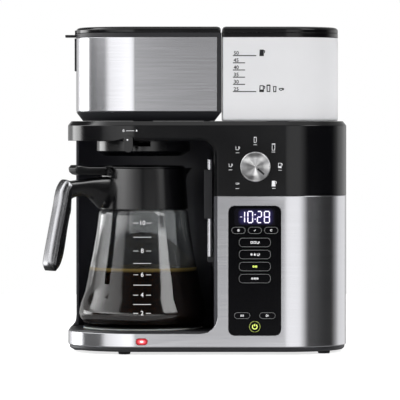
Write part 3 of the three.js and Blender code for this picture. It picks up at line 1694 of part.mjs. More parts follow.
makeFeet();
makeBasePan();
makeBaseHousing();
makeSteelFront();
makeWarmingLight();
makeWarmingPlate();
makeColumnHousing();
makeRearCover();
makeUpperFascia();
makeUpperChassis();
makeDripFunnel();
makeDripStop();
makeControlPanel();
makeButtons();
makeKnob();
makeCupShelf();
makeBrewHousing();
makeBrewWrap();
makeFilterBasket();
makeBrewLid();
makeTank();
makeTankSeat();
makeWaterPath();
makeCordGland();
makeCarafe();

// The origin is the middle of the machine's footprint on the table, carafe handle included
const root = new THREE.Group();
root.add(machine);
machine.updateMatrixWorld(true);
const bounds = new THREE.Box3().setFromObject(machine, true);
const centre = bounds.getCenter(new THREE.Vector3());
machine.position.set(-centre.x, -centre.y, -bounds.min.z);

export default root;
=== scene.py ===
"""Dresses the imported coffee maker: finishes, printed marks, coffee, floor, light and camera."""

import json
import math

import bmesh
import bpy
from bpy.props import FloatProperty, FloatVectorProperty, IntProperty, PointerProperty
from mathutils import Matrix, Vector


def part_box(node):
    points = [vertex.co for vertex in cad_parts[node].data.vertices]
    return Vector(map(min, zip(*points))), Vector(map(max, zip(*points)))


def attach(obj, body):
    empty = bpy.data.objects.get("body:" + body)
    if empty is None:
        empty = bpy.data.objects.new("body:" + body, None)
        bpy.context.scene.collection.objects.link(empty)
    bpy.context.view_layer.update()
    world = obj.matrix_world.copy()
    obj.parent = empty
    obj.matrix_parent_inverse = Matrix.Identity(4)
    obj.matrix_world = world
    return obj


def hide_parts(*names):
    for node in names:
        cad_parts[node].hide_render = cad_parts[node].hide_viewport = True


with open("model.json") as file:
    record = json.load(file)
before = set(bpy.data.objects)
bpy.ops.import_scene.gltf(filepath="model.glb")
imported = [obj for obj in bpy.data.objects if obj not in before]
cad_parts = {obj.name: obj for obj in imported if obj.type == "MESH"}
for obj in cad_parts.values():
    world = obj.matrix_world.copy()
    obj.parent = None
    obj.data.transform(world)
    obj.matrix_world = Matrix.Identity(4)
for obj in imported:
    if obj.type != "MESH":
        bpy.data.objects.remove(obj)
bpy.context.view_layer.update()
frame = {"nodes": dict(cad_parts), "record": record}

bl_info = {
    "name": "Coffee maker dressing",
    "version": (1, 0, 0),
    "blender": (4, 5, 0),
    "location": "View3D > Sidebar > Coffee maker",
    "description": "Dresses the packed coffee maker with its finishes, marks, light and camera",
    "category": "Object",
}

# One millimetre in metres, and the machine's middle and front plane in the frame
MM = 0.001
STEEL_LOW, STEEL_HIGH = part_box("steel_front")
MIDDLE_X = (STEEL_LOW.x + STEEL_HIGH.x) / 2
FRONT_Y = STEEL_LOW.y


def at(x, y, z):
    """A place in millimetres from the machine's middle, front plane and table, as a frame point."""
    return Vector((MIDDLE_X + x * MM, FRONT_Y + y * MM, z * MM))


def centre_of(node):
    """The middle of a CAD node's box, in machine millimetres."""
    low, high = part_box(node)
    middle = (low + high) / 2
    return ((middle.x - MIDDLE_X) / MM, (middle.y - FRONT_Y) / MM, middle.z / MM)


def size_of(node):
    """The size of a CAD node's box in millimetres."""
    low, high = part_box(node)
    return tuple((high - low) / MM)


def linear(code):
    """An sRGB hex colour as linear red, green and blue."""
    parts = [int(code[i : i + 2], 16) / 255 for i in (1, 3, 5)]
    return tuple(p / 12.92 if p <= 0.04045 else ((p + 0.055) / 1.055) ** 2.4 for p in parts)


def length(title, about, millimetres):
    """A length property that opens at a number of millimetres."""
    return FloatProperty(name=title, description=about, default=millimetres * MM, min=0, unit="LENGTH")


def amount(title, about, value):
    """A plain number property."""
    return FloatProperty(name=title, description=about, default=value, min=0, max=10)


def colour(title, about, code):
    """A colour property that opens at an sRGB hex colour."""
    return FloatVectorProperty(
        name=title, description=about, subtype="COLOR", size=3, min=0, max=1, default=linear(code)
    )


class FinishSettings(bpy.types.PropertyGroup):
    """Colours and grain sizes of the machine's finishes."""

    steel: colour("Steel", "Brushed stainless steel of the front and the wrap", "#e0e0e4")
    polished_black: colour("Polished black", "High gloss moulded ABS", "#060608")
    satin_black: colour("Satin black", "Fine textured moulded plastic", "#1e1e22")
    acrylic: colour("Panel acrylic", "Black acrylic of the control panel", "#050507")
    print_light: colour("Light print", "Pad printed marks on black and on glass", "#e6e6e8")
    print_dark: colour("Dark print", "Pad printed marks on the tank", "#151518")
    lit: colour("Lit mark", "Marks lit from behind in lime", "#cfe06a")
    digits: colour("Digits", "Blue white light of the clock", "#dcd4f0")
    lens: colour("Lens", "Red polycarbonate lens", "#d81422")
    coffee: colour("Coffee", "Deep coffee", "#140803")
    coffee_rim: colour("Coffee rim", "Thin coffee at the surface", "#7d6a3a")
    tank: colour("Tank", "Frosted clear copolyester", "#f0f0f2")
    glass: colour("Glass", "Borosilicate glass", "#fbfdfd")
    brush_line: length("Brush line", "Width of one visible brush line", 0.9)
    plastic_grain: length("Plastic grain", "Width of one bump of the satin texture", 0.7)


class MarkSettings(bpy.types.PropertyGroup):
    """Sizes of the printed marks."""

    stroke: length("Stroke", "Width of a printed line", 0.55)
    film: length("Film", "Thickness of a printed film", 0.05)
    pictogram: length("Pictogram", "Height of one pictogram round the knob", 6.2)
    numeral: length("Numeral", "Height of a numeral on the glass", 5.4)
    tank_numeral: length("Tank numeral", "Height of a numeral on the tank", 4.4)
    tank_pitch: length("Tank pitch", "Distance between two tank marks", 8.84)
    tank_marks: IntProperty(name="Tank marks", description="Number of tank marks", default=6, min=2)


class RoundSettings(bpy.types.PropertyGroup):
    """How finely round shapes are made, and the sizes of the turned ones."""

    glass_steps: IntProperty(name="Glass steps", description="Faces round the carafe", default=96, min=24)
    knob_steps: IntProperty(name="Knob steps", description="Faces round the knob", default=96, min=24)
    knob_ribs: IntProperty(name="Knob ribs", description="Grip ribs round the knob", default=60, min=12)
    rib: length("Rib", "Width of one grip rib", 0.9)
    coffee_level: length("Coffee level", "Height of the coffee's surface over the table", 105.2)


class StageSettings(bpy.types.PropertyGroup):
    """Floor, light and camera."""

    floor: colour("Floor", "Pale matt floor", "#f4f4f4")
    floor_reach: length("Floor reach", "Radius of the floor disc", 1500)
    floor_glow: amount("Floor glow", "Light that the floor gives back on its own", 0.8)
    light: amount("Light", "Strength of the studio surround", 1.0)
    camera_distance: length("Camera distance", "From the front plane to the camera", 4400)
    camera_height: length("Camera height", "Camera over the table", 283)
    view_width: length("View width", "Width of the view at the front plane", 491.2)
    aim_x: FloatProperty(name="Aim X", description="Aim beside the middle", default=-8.6 * MM, unit="LENGTH")
    aim_height: length("Aim height", "Height of the point that the camera looks at", 190.8)


# Nodes of a shader or geometry tree


def add(tree, kind, settings=None, links=None, feeds=None):
    """Adds a node, sets its fields and sockets, links its inputs, and feeds sockets from its outputs.

    A link comes from a socket, or from the first output of a node.
    """
    made = tree.nodes.new(kind)
    for key, value in (settings or {}).items():
        if isinstance(key, str) and hasattr(made, key):
            setattr(made, key, value)
        else:
            made.inputs[key].default_value = value
    for key, source in (links or {}).items():
        tree.links.new(getattr(source, "outputs", [source])[0], made.inputs[key])
    for key, socket in (feeds or {}).items():
        tree.links.new(made.outputs[key], socket)
    return made


def between(low, high):
    """Settings of a mix that goes from one colour to another."""
    return {"data_type": "RGBA", 6: (*low, 1), 7: (*high, 1)}


def start(name, base, roughness, settings=None):
    """A material with one Principled shader; returns the material, its tree and the shader."""
    made = bpy.data.materials.new(name)
    made.use_nodes = True
    tree = made.node_tree
    tree.nodes.clear()
    sockets = {"Base Color": (*base, 1), "Roughness": roughness, **(settings or {})}
    skin = add(tree, "ShaderNodeBsdfPrincipled", sockets)
    add(tree, "ShaderNodeOutputMaterial", links={"Surface": skin})
    return made, tree, skin


def grain(tree, skin, across, detail=2.0, stretch=(1, 1, 1), lean=None, rough=None, tint=None, relief=None):
    """Noise in object coordinates, with features as wide as a real size in metres.

    It varies the roughness between two values, the base colour by a share of itself, and the surface
    by a height in millimetres and a strength.
    """
    place = add(tree, "ShaderNodeTexCoord").outputs["Object"]
    if lean:
        place = add(tree, "ShaderNodeMapping", {"Rotation": lean}, {"Vector": place})
    scale = tuple(part / across for part in stretch)
    spread = add(tree, "ShaderNodeMapping", {"Scale": scale}, {"Vector": place})
    settings = {"Scale": 1.0, "Detail": detail, "Roughness": 0.55}
    noise = add(tree, "ShaderNodeTexNoise", settings, {"Vector": spread})
    if rough:
        settings = {"To Min": rough[0], "To Max": rough[1]}
        add(tree, "ShaderNodeMapRange", settings, {"Value": noise}, {0: skin.inputs["Roughness"]})
    if tint:
        base = skin.inputs["Base Color"].default_value[:3]
        low, high = ([min(1.0, c * part) for c in base] for part in (1 - tint, 1 + tint))
        add(tree, "ShaderNodeMix", between(low, high), {0: noise}, {2: skin.inputs["Base Color"]})
    if relief:
        settings = {"Distance": relief[0] * MM, "Strength": relief[1]}
        add(tree, "ShaderNodeBump", settings, {"Height": noise}, {0: skin.inputs["Normal"]})


def grained(name, base, roughness, settings, across, **varied):
    """A material whose only pattern is one grain."""
    made, tree, skin = start(name, base, roughness, settings)
    grain(tree, skin, across, **varied)
    return made


def away_from(tree, place):
    """The way from a place, in machine millimetres, to the point that is shaded."""
    settings = {"operation": "SUBTRACT", 1: tuple(at(*place))}
    return add(tree, "ShaderNodeVectorMath", settings, {0: add(tree, "ShaderNodeTexCoord").outputs["Object"]})


class Finishes:
    """The materials, each made once from the settings."""

    # Inks: the setting of their colour, how much of it shows, and their own light. The outline and the ring
    # are the thinner lines round the buttons; what is lit has a lamp behind it. The light print and the
    # outline have no lamp, so their glow is painted light.
    INKS = {
        "print_light": ("print_light", 1.0, 0.12),
        "print_outline": ("print_light", 0.27, 0.1),
        "print_dark": ("print_dark", 1.0, 0.0),
        "lit_lime": ("lit", 1.0, 0.85),
        "lit_ring": ("lit", 0.5, 0.6),
        "lit_digits": ("digits", 1.0, 0.85),
    }
    # The clock's middle, and half the width and height and the fade of its glow, in machine millimetres
    CLOCK = (60, 0, 170)
    CLOCK_GLOW = (16.5, 4.5, 6.5)
    # Half the width and height of the lens's glow, and its colours by share of that reach
    LENS_GLOW = (7, 3.8)
    LENS_COLOURS = {0.1: "#fff7f3", 0.42: "#e2535c", 0.85: "#8e0f1a"}
    # The knob's wedges of painted highlight and shade in its colour: how many go round, and where they start
    # in radians
    WEDGES = [(3.0, 0.6), (5.0, 2.4), (8.0, 1.1)]

    def __init__(self, look):
        self.look = look
        self.made = {}

    def get(self, name):
        """The material of that name."""
        if name not in self.made:
            self.made[name] = self.printed(name) if name in self.INKS else getattr(self, name)()
        return self.made[name]

    def printed(self, name):
        """Pad printing ink: a thin flat film with slightly uneven cover."""
        setting, part, glow = self.INKS[name]
        base = [c * part for c in getattr(self.look, setting)]
        settings = {"Emission Color": (*base, 1), "Emission Strength": glow}
        return grained(name, base, 0.5, settings, 0.8 * MM, tint=0.08)

    def brushed_stainless(self):
        """Stainless sheet, brushed along the horizontal: long fine lines, highlights drawn out upright."""
        settings = {"Metallic": 1.0, "Anisotropic": 0.1, "Anisotropic Rotation": 0.25}
        made, tree, skin = start("brushed_stainless", self.look.steel, 0.17, settings)
        settings = {"direction_type": "RADIAL", "axis": "Z"}
        add(tree, "ShaderNodeTangent", settings, feeds={0: skin.inputs["Tangent"]})
        grain(tree, skin, self.look.brush_line, 3.0, (0.014, 0.014, 1), rough=(0.15, 0.2), tint=0.08,
              relief=(0.004, 0.2))
        return made

    def brushed_strip(self):
        """The same sheet on the shelf's edge, brushed along its length."""
        return grained("brushed_strip", self.look.steel, 0.24, {"Metallic": 1.0, "Anisotropic": 0.5},
                       self.look.brush_line, detail=3.0, stretch=(1, 1, 0.03), rough=(0.18, 0.36), tint=0.14,
                       relief=(0.02, 0.3))

    def formed_stainless(self):
        """The handle's sheet: drawn over the grip, its colour a third of the steel's as painted shade that
        dims what it mirrors, and brushed along its lean.
        """
        lean = tuple(math.radians(angle) for angle in (5.7, -9.8, 0))
        return grained("formed_stainless", [c * 0.36 for c in self.look.steel], 0.1, {"Metallic": 1.0},
                       self.look.brush_line, detail=3.0, stretch=(1, 1, 0.02), lean=lean, rough=(0.2, 0.32),
                       tint=0.35, relief=(0.03, 0.3))

    def spun_stainless(self):
        """Stainless turned on a lathe: fine rings that fan the light out, with wedges of highlight and shade
        painted into its colour by the angle round the knob.
        """
        settings = {"Metallic": 1.0, "Anisotropic": 0.92}
        made, tree, skin = start("spun_stainless", self.look.steel, 0.3, settings)
        arm = away_from(tree, centre_of("size_knob"))
        settings = {"operation": "CROSS_PRODUCT", 1: (0, 1, 0)}
        add(tree, "ShaderNodeVectorMath", settings, {0: arm}, {0: skin.inputs["Tangent"]})
        reach = add(tree, "ShaderNodeVectorMath", {"operation": "LENGTH"}, {0: arm})
        settings = {"noise_dimensions": "1D", "Scale": 1 / (0.3 * MM), "Detail": 2.0}
        rings = add(tree, "ShaderNodeTexNoise", settings, {"W": reach.outputs["Value"]})
        settings = {"Distance": 0.01 * MM, "Strength": 0.3}
        add(tree, "ShaderNodeBump", settings, {"Height": rings}, {0: skin.inputs["Normal"]})
        split = add(tree, "ShaderNodeSeparateXYZ", links={0: arm})
        links = {0: split.outputs["Z"], 1: split.outputs["X"]}
        angle = add(tree, "ShaderNodeMath", {"operation": "ARCTAN2"}, links)
        # Painted highlight and shade: waves of the angle round the knob move the colour between a dark and a
        # bright steel
        total = None
        for count, shift in self.WEDGES:
            wedge = add(tree, "ShaderNodeMath", {"operation": "MULTIPLY_ADD", 1: count, 2: shift}, {0: angle})
            wave = add(tree, "ShaderNodeMath", {"operation": "SINE"}, {0: wedge})
            total = add(tree, "ShaderNodeMath", {"operation": "ADD"}, {0: total, 1: wave}) if total else wave
        share = add(tree, "ShaderNodeMapRange", {"From Min": -2.2, "From Max": 2.0}, {"Value": total})
        dark, bright = ([min(1.0, c * part) for c in self.look.steel] for part in (0.42, 1.35))
        add(tree, "ShaderNodeMix", between(dark, bright), {0: share}, {2: skin.inputs["Base Color"]})
        return made

    def polished_black(self):
        """High gloss ABS: a deep black whose only detail is what it mirrors, and faint moulding waves."""
        settings = {"IOR": 1.52, "Specular IOR Level": 0.42}
        return grained("polished_black", self.look.polished_black, 0.14, settings, 35 * MM, detail=1.0,
                       rough=(0.11, 0.18), relief=(0.05, 0.2))

    def satin_black(self):
        """Spark eroded moulded plastic: soft highlights over a fine grain, drawn coarse enough to show."""
        return grained("satin_black", self.look.satin_black, 0.42, {"IOR": 1.5}, self.look.plastic_grain,
                       rough=(0.36, 0.5), tint=0.18, relief=(0.03, 0.35))

    def bay_black(self):
        """The same plastic, painted a lighter grey on the parts round the bay to lift the shade that falls
        there.
        """
        return grained("bay_black", linear("#34343a"), 0.42, {"IOR": 1.5}, self.look.plastic_grain,
                       rough=(0.36, 0.5), tint=0.15, relief=(0.03, 0.35))

    def smooth_black(self):
        """Moulded plastic of collar, lid, handle and funnel: half gloss with a broad soft shine."""
        settings = {"IOR": 1.52, "Specular IOR Level": 0.7}
        return grained("smooth_black", self.look.polished_black, 0.2, settings, self.look.plastic_grain,
                       rough=(0.17, 0.23), tint=0.12, relief=(0.01, 0.2))

    def acrylic(self):
        """Cast acrylic over the controls: mirror smooth, and black right through."""
        settings = {"IOR": 1.49, "Specular IOR Level": 0.2}
        return grained("panel_acrylic", self.look.acrylic, 0.06, settings, 12 * MM, detail=3.0,
                       rough=(0.04, 0.1))

    def display_haze(self):
        """The clock's window: black, with the figures' light scattered round them and fading out."""
        settings = {"IOR": 1.49, "Emission Strength": 1.0}
        made, tree, skin = start("display_haze", linear("#07060f"), 0.08, settings)
        half_width, half_height, fade = self.CLOCK_GLOW
        bent = add(tree, "ShaderNodeVectorMath", {"operation": "ABSOLUTE"}, {0: away_from(tree, self.CLOCK)})
        inside = {"operation": "SUBTRACT", 1: (half_width * MM, 1, half_height * MM)}
        past = add(tree, "ShaderNodeVectorMath", inside, {0: bent})
        out = add(tree, "ShaderNodeVectorMath", {"operation": "MAXIMUM", 1: (0, 0, 0)}, {0: past})
        reach = add(tree, "ShaderNodeVectorMath", {"operation": "LENGTH"}, {0: out})
        settings = {"interpolation_type": "SMOOTHSTEP", "From Max": fade * MM, "To Min": 1.0, "To Max": 0.0}
        glow = add(tree, "ShaderNodeMapRange", settings, {"Value": reach.outputs["Value"]})
        colours = between(linear("#000000"), linear("#26224e"))
        add(tree, "ShaderNodeMix", colours, {0: glow}, {2: skin.inputs["Emission Color"]})
        return made

    def red_lens(self):
        """Red polycarbonate over a lamp, white hot in its middle."""
        settings = {"IOR": 1.58, "Emission Strength": 0.7}
        made, tree, skin = start("red_lens", self.look.lens, 0.12, settings)
        half_width, half_height = self.LENS_GLOW
        shares = {"operation": "MULTIPLY", 1: (1 / (half_width * MM), 0, 1 / (half_height * MM))}
        flat = add(tree, "ShaderNodeVectorMath", shares, {0: away_from(tree, centre_of("warming_light"))})
        reach = add(tree, "ShaderNodeVectorMath", {"operation": "LENGTH"}, {0: flat})
        fan = add(tree, "ShaderNodeValToRGB", links={"Fac": reach.outputs["Value"]})
        stops = fan.color_ramp.elements
        stops.new(0.5)
        for stop, (share, code) in zip(stops, self.LENS_COLOURS.items()):
            stop.position, stop.color = share, (*linear(code), 1)
        for socket in ("Base Color", "Emission Color"):
            tree.links.new(fan.outputs["Color"], skin.inputs[socket])
        return made

    def borosilicate(self):
        """Blown borosilicate: clear, with slow waves in its wall."""
        settings = {"Transmission Weight": 1.0, "IOR": 1.47}
        return grained("borosilicate", self.look.glass, 0.0, settings, 40 * MM, detail=1.0,
                       relief=(0.12, 0.25))

    def frosted_tank(self):
        """Clear copolyester with a frosted face: light passes and outlines behind it blur."""
        settings = {"Transmission Weight": 0.3, "IOR": 1.45}
        return grained("frosted_tank", self.look.tank, 0.3, settings, 60 * MM, rough=(0.26, 0.36), tint=0.03)

    def coffee_liquid(self):
        """Black coffee: opaque in the depth and amber where it is thin, at its surface."""
        made, tree, skin = start("coffee_liquid", self.look.coffee, 0.04, {"IOR": 1.34})
        place = add(tree, "ShaderNodeTexCoord").outputs["Object"]
        split = add(tree, "ShaderNodeSeparateXYZ", links={0: place})
        level = bpy.context.scene.coffee_rounds.coffee_level
        settings = {"From Min": level - 5 * MM, "From Max": level - 1.5 * MM}
        depth = add(tree, "ShaderNodeMapRange", settings, {"Value": split.outputs["Z"]})
        colours = between(self.look.coffee, self.look.coffee_rim)
        add(tree, "ShaderNodeMix", colours, {0: depth}, {2: skin.inputs["Base Color"]})
        return made

    def rubber(self):
        """Moulded rubber: no shine and a dusty grain."""
        return grained("moulded_rubber", linear("#17171a"), 0.85, None, 0.8 * MM, tint=0.3,
                       relief=(0.05, 0.5))

    def silicone(self):
        """Translucent grey silicone of seals and hoses."""
        return grained("silicone", linear("#b9b7b0"), 0.55, {"Subsurface Weight": 0.2}, 5 * MM, tint=0.08)

    def plate_coating(self):
        """Non-stick coating sprayed on the plate: dark, with a pebbled skin."""
        settings = {"IOR": 1.38, "Specular IOR Level": 0.3}
        return grained("plate_coating", linear("#0f0f11"), 0.5, settings, 0.9 * MM, detail=3.0, tint=0.35,
                       relief=(0.06, 0.5))

    def cast_aluminium(self):
        """Die cast aluminium with a matt open grain."""
        return grained("cast_aluminium", linear("#a9abad"), 0.45, {"Metallic": 1.0}, 1.2 * MM, detail=4.0,
                       rough=(0.36, 0.6), relief=(0.05, 0.5))

    def circuit_board(self):
        """Glass fibre board under green solder mask, with its weave."""
        return grained("circuit_board", linear("#14532d"), 0.35, None, 1.0 * MM, detail=1.0,
                       stretch=(1, 1, 3), tint=0.25)


# Meshes


def new_object(name, mesh):
    """A mesh object at the origin, in the scene."""
    made = bpy.data.objects.new(name, mesh)
    bpy.context.scene.collection.objects.link(made)
    return made


def shaded(mesh, angle):
    """Smooth faces between edges sharper than an angle in degrees."""
    mesh.shade_smooth()
    mesh.set_sharp_from_angle(angle=math.radians(angle))


def from_bmesh(name, shape, finish, smooth=30.0):
    """An object from a bmesh, with its finish."""
    bmesh.ops.recalc_face_normals(shape, faces=shape.faces)
    mesh = bpy.data.meshes.new(name)
    shape.to_mesh(mesh)
    shape.free()
    mesh.materials.append(finish)
    shaded(mesh, smooth)
    return new_object(name, mesh)


def settle(obj):
    """Turns what an object's modifiers make into its own plain mesh."""
    graph = bpy.context.evaluated_depsgraph_get()
    solid = obj.evaluated_get(graph)
    mesh = bpy.data.meshes.new_from_object(solid, preserve_all_data_layers=True, depsgraph=graph)
    obj.modifiers.clear()
    obj.data = mesh


BODIES = frame["record"]["behaviour"]["bodies"]
BODY_OF = {node: body for body, nodes in BODIES.items() for node in nodes}


def carry(obj, node, slot=None, stands_for=False):
    """Lets a piece ride with a CAD node's body, and stand for that node."""
    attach(obj, BODY_OF[node])
    if stands_for:
        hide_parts(node)


# Angles in degrees: faces that merge, edges that get a round, and edges that stay sharp beside one
FLAT, EDGED, SHARP = 0.6, 32, 50


def dressed(node, finish, slot, edge):
    """A copy of a CAD node with merged faces, edges rounded by some millimetres, and its finish."""
    shape = bmesh.new()
    shape.from_mesh(frame["nodes"][node].data)
    bmesh.ops.remove_doubles(shape, verts=shape.verts, dist=0.001 * MM)
    bmesh.ops.dissolve_limit(shape, angle_limit=math.radians(FLAT), verts=shape.verts, edges=shape.edges)
    mesh = bpy.data.meshes.new(node + "_finish")
    shape.to_mesh(mesh)
    shape.free()
    for name in [a.name for a in mesh.attributes if a.name.startswith("custom_normal")]:
        mesh.attributes.remove(mesh.attributes[name])
    mesh.materials.clear()
    mesh.materials.append(finish)
    obj = new_object(node + "_finish", mesh)
    if edge:
        bevel = obj.modifiers.new("edge", "BEVEL")
        bevel.limit_method = "ANGLE"
        bevel.angle_limit = math.radians(EDGED)
        bevel.width = edge * MM
        bevel.segments = 2
        bevel.use_clamp_overlap = False
        settle(obj)
    shaded(obj.data, SHARP if edge else EDGED)
    # Large faces rule the shading, so flats stay flat beside their rounds
    obj.modifiers.new("even normals", "WEIGHTED_NORMAL").keep_sharp = True
    carry(obj, node, slot, True)


def tree_named(name, inputs):
    """An open geometry tree with a geometry, named inputs and a material; returns it and its inputs."""
    tree = bpy.data.node_groups.new(name, "GeometryNodeTree")
    for socket, kind in {"Geometry": "Geometry", **inputs, "Material": "Material"}.items():
        tree.interface.new_socket(socket, in_out="INPUT", socket_type="NodeSocket" + kind)
    tree.interface.new_socket("Geometry", in_out="OUTPUT", socket_type="NodeSocketGeometry")
    return tree, add(tree, "NodeGroupInput")


def closed(tree, source, geometry):
    """Ends a tree: instances made real, and the material set."""
    real = add(tree, "GeometryNodeRealizeInstances", links={"Geometry": geometry})
    links = {"Geometry": real, "Material": source.outputs["Material"]}
    add(tree, "NodeGroupOutput", links={0: add(tree, "GeometryNodeSetMaterial", links=links)})
    return tree


def revolve_tree():
    """Geometry nodes that turn a profile, drawn as radius and height, about the upright axis."""
    tree, source = tree_named("turn a profile", {"Steps": "Int", "Points": "Int"})
    steps, points = source.outputs["Steps"], source.outputs["Points"]
    more = add(tree, "ShaderNodeMath", {"operation": "ADD", 1: 1.0}, {0: steps})
    links = {"Vertices X": more, "Vertices Y": points}
    grid = add(tree, "GeometryNodeMeshGrid", {"Size X": 1.0, "Size Y": 1.0}, links)
    here = add(tree, "GeometryNodeInputPosition")
    split = add(tree, "ShaderNodeSeparateXYZ", links={0: here})
    half = add(tree, "ShaderNodeMath", {"operation": "ADD", 1: 0.5}, {0: split.outputs["Y"]})
    last = add(tree, "ShaderNodeMath", {"operation": "SUBTRACT", 1: 1.0}, {0: points})
    row = add(tree, "ShaderNodeMath", {"operation": "MULTIPLY"}, {0: half, 1: last})
    whole = add(tree, "ShaderNodeMath", {"operation": "ROUND"}, {0: row})
    settings = {"data_type": "FLOAT_VECTOR", "domain": "POINT"}
    links = {"Geometry": source, "Value": here, "Index": whole}
    sample = add(tree, "GeometryNodeSampleIndex", settings, links)
    turn = add(tree, "ShaderNodeMath", {"operation": "MULTIPLY", 1: 2 * math.pi}, {0: split})
    links = {"Vector": sample.outputs["Value"], "Angle": turn}
    spin = add(tree, "ShaderNodeVectorRotate", {"rotation_type": "Z_AXIS"}, links)
    put = add(tree, "GeometryNodeSetPosition", links={"Geometry": grid, "Position": spin})
    merge = add(tree, "GeometryNodeMergeByDistance", {"Distance": 0.001 * MM}, {"Geometry": put})
    return closed(tree, source, merge)


def ring_tree():
    """Geometry nodes that set one shape at equal steps round the upright axis."""
    tree, source = tree_named("ring of ribs", {"Count": "Int", "Radius": "Float"})
    links = {"Vertices": source.outputs["Count"], "Radius": source.outputs["Radius"]}
    ring = add(tree, "GeometryNodeMeshCircle", links=links)
    here = add(tree, "GeometryNodeInputPosition")
    settings = {"axis": "X", "pivot_axis": "Z"}
    turn = add(tree, "FunctionNodeAlignRotationToVector", settings, {"Vector": here})
    links = {"Points": ring, "Instance": source, "Rotation": turn}
    return closed(tree, source, add(tree, "GeometryNodeInstanceOnPoints", links=links))


def ladder_tree():
    """Geometry nodes that repeat one shape upwards at a fixed pitch."""
    tree, source = tree_named("ladder of marks", {"Count": "Int", "Pitch": "Float"})
    step = add(tree, "ShaderNodeCombineXYZ", links={"Z": source.outputs["Pitch"]})
    links = {"Count": source.outputs["Count"], "Offset": step}
    rungs = add(tree, "GeometryNodeMeshLine", links=links)
    links = {"Points": rungs, "Instance": source}
    return closed(tree, source, add(tree, "GeometryNodeInstanceOnPoints", links=links))


# The geometry trees, each made once
TREES = {}


def grown(obj, maker, values):
    """Runs a geometry tree on an object with values for its named inputs, and keeps the plain mesh."""
    if maker not in TREES:
        TREES[maker] = maker()
    grower = obj.modifiers.new(TREES[maker].name, "NODES")
    grower.node_group = TREES[maker]
    for item in grower.node_group.interface.items_tree:
        if item.in_out == "INPUT" and item.name in values:
            grower[item.identifier] = values[item.name]
    settle(obj)


def turned(name, profile, finish, steps, smooth, stand):
    """A closed round body from radii and heights in millimetres, turned upright and then put in place."""
    mesh = bpy.data.meshes.new(name)
    mesh.from_pydata([(r * MM, 0, h * MM) for r, h in profile], [], [])
    obj = new_object(name, mesh)
    grown(obj, revolve_tree, {"Steps": steps, "Points": len(profile), "Material": finish})
    shape = bmesh.new()
    shape.from_mesh(obj.data)
    bmesh.ops.remove_doubles(shape, verts=shape.verts, dist=0.002 * MM)
    bmesh.ops.dissolve_degenerate(shape, dist=0.0005 * MM, edges=shape.edges)
    bmesh.ops.recalc_face_normals(shape, faces=shape.faces)
    shape.to_mesh(obj.data)
    shape.free()
    shaded(obj.data, smooth)
    obj.data.transform(stand)
    return obj


def smooth_line(points, samples):
    """A line through points by splines, with a number of samples for each span."""
    made = []
    ends = [points[0], *points, points[-1]]
    for i in range(1, len(ends) - 2):
        p0, p1, p2, p3 = (Vector(ends[k]) for k in (i - 1, i, i + 1, i + 2))
        bend = 2 * p0 - 5 * p1 + 4 * p2 - p3
        twist = 3 * p1 - p0 - 3 * p2 + p3
        for t in (k / samples for k in range(samples)):
            made.append(0.5 * (2 * p1 + (p2 - p0) * t + bend * t**2 + twist * t**3))
    return [*made, Vector(points[-1])]


# Printed marks are strokes and patches in millimetres, given as (kind, points)


def line(*points):
    """An open stroke."""
    return ("line", points)


def loop(*points):
    """A closed stroke."""
    return ("loop", points)


def patch(*points):
    """A filled outline."""
    return ("patch", points)


def spoke(x, y, radius, angle):
    """A point at a distance and an angle in degrees round a point."""
    turn = math.radians(angle)
    return (x + radius * math.cos(turn), y + radius * math.sin(turn))


def arc(x, y, radius, first, last, steps=10):
    """Points on an arc between two angles."""
    return [spoke(x, y, radius, first + (last - first) * k / steps) for k in range(steps + 1)]


def pill(x, y, width, height, radius, steps=6):
    """The outline of a rounded bar."""
    w, h = width / 2 - radius, height / 2 - radius
    corners = [(w, h, 0), (-w, h, 90), (-w, -h, 180), (w, -h, 270)]
    return [p for a, b, c in corners for p in arc(x + a, y + b, radius, c, c + 90, steps)]


def moved(marks, x, y, scale=1.0):
    """Marks set at a place and scaled."""
    return [(kind, [(x + a * scale, y + b * scale) for a, b in points]) for kind, points in marks]


def ribbon(shape, points, closed, width, high, place):
    """Adds one stroke of even width and thickness to a bmesh."""
    flat = [Vector(p) for p in points]
    count = len(flat)
    rings = []
    for i, point in enumerate(flat):
        ways = []
        if closed or i > 0:
            ways.append((point - flat[i - 1]).normalized())
        if closed or i < count - 1:
            ways.append((flat[(i + 1) % count] - point).normalized())
        along = sum(ways, Vector((0, 0))).normalized()
        side = Vector((-along.y, along.x))
        stretch = 1 / max(0.5, abs(side.dot(Vector((-ways[0].y, ways[0].x)))))
        off = side * (width / 2 * stretch)
        corners = [(point + off, 0), (point - off, 0), (point - off, high), (point + off, high)]
        rings.append([shape.verts.new(place(p.x, p.y, h)) for p, h in corners])
    join(shape, rings, closed)


def join(shape, rings, closed=False):
    """Adds the skin through rings of equally many vertices, with both ends unless it is closed."""
    count = len(rings[0])
    for a, b in zip(rings, rings[1:] + rings[:1] if closed else rings[1:]):
        for k in range(count):
            m = (k + 1) % count
            shape.faces.new((a[k], a[m], b[m], b[k]))
    if not closed:
        shape.faces.new(rings[0][::-1])
        shape.faces.new(rings[-1])


def slab(shape, points, low, high, place):
    """Adds one flat slab to a bmesh."""
    join(shape, [[shape.verts.new(place(x, y, h)) for x, y in points] for h in (low, high)])


def front_of(node, back=0.0):
    """A place function of x, height and lift for a node's front, or some millimetres behind it."""
    front = (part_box(node)[0].y - FRONT_Y) / MM + back
    return lambda x, z, lift: at(x, front - lift, z)


# Pictograms, each about two units wide and high round its own middle


def cup():
    """A cup with its handle."""
    return [line((-0.8, 0.8), (-0.7, -0.8), (0.5, -0.8), (0.6, 0.8)), line(*arc(0.6, 0.15, 0.45, 80, -80, 6))]


def mug():
    """A low wide cup."""
    return [line(*arc(-0.1, 0.4, 0.75, 180, 360, 8)), line((-0.85, 0.4), (0.65, 0.4)),
            line(*arc(0.65, 0.1, 0.32, 80, -80, 6))]


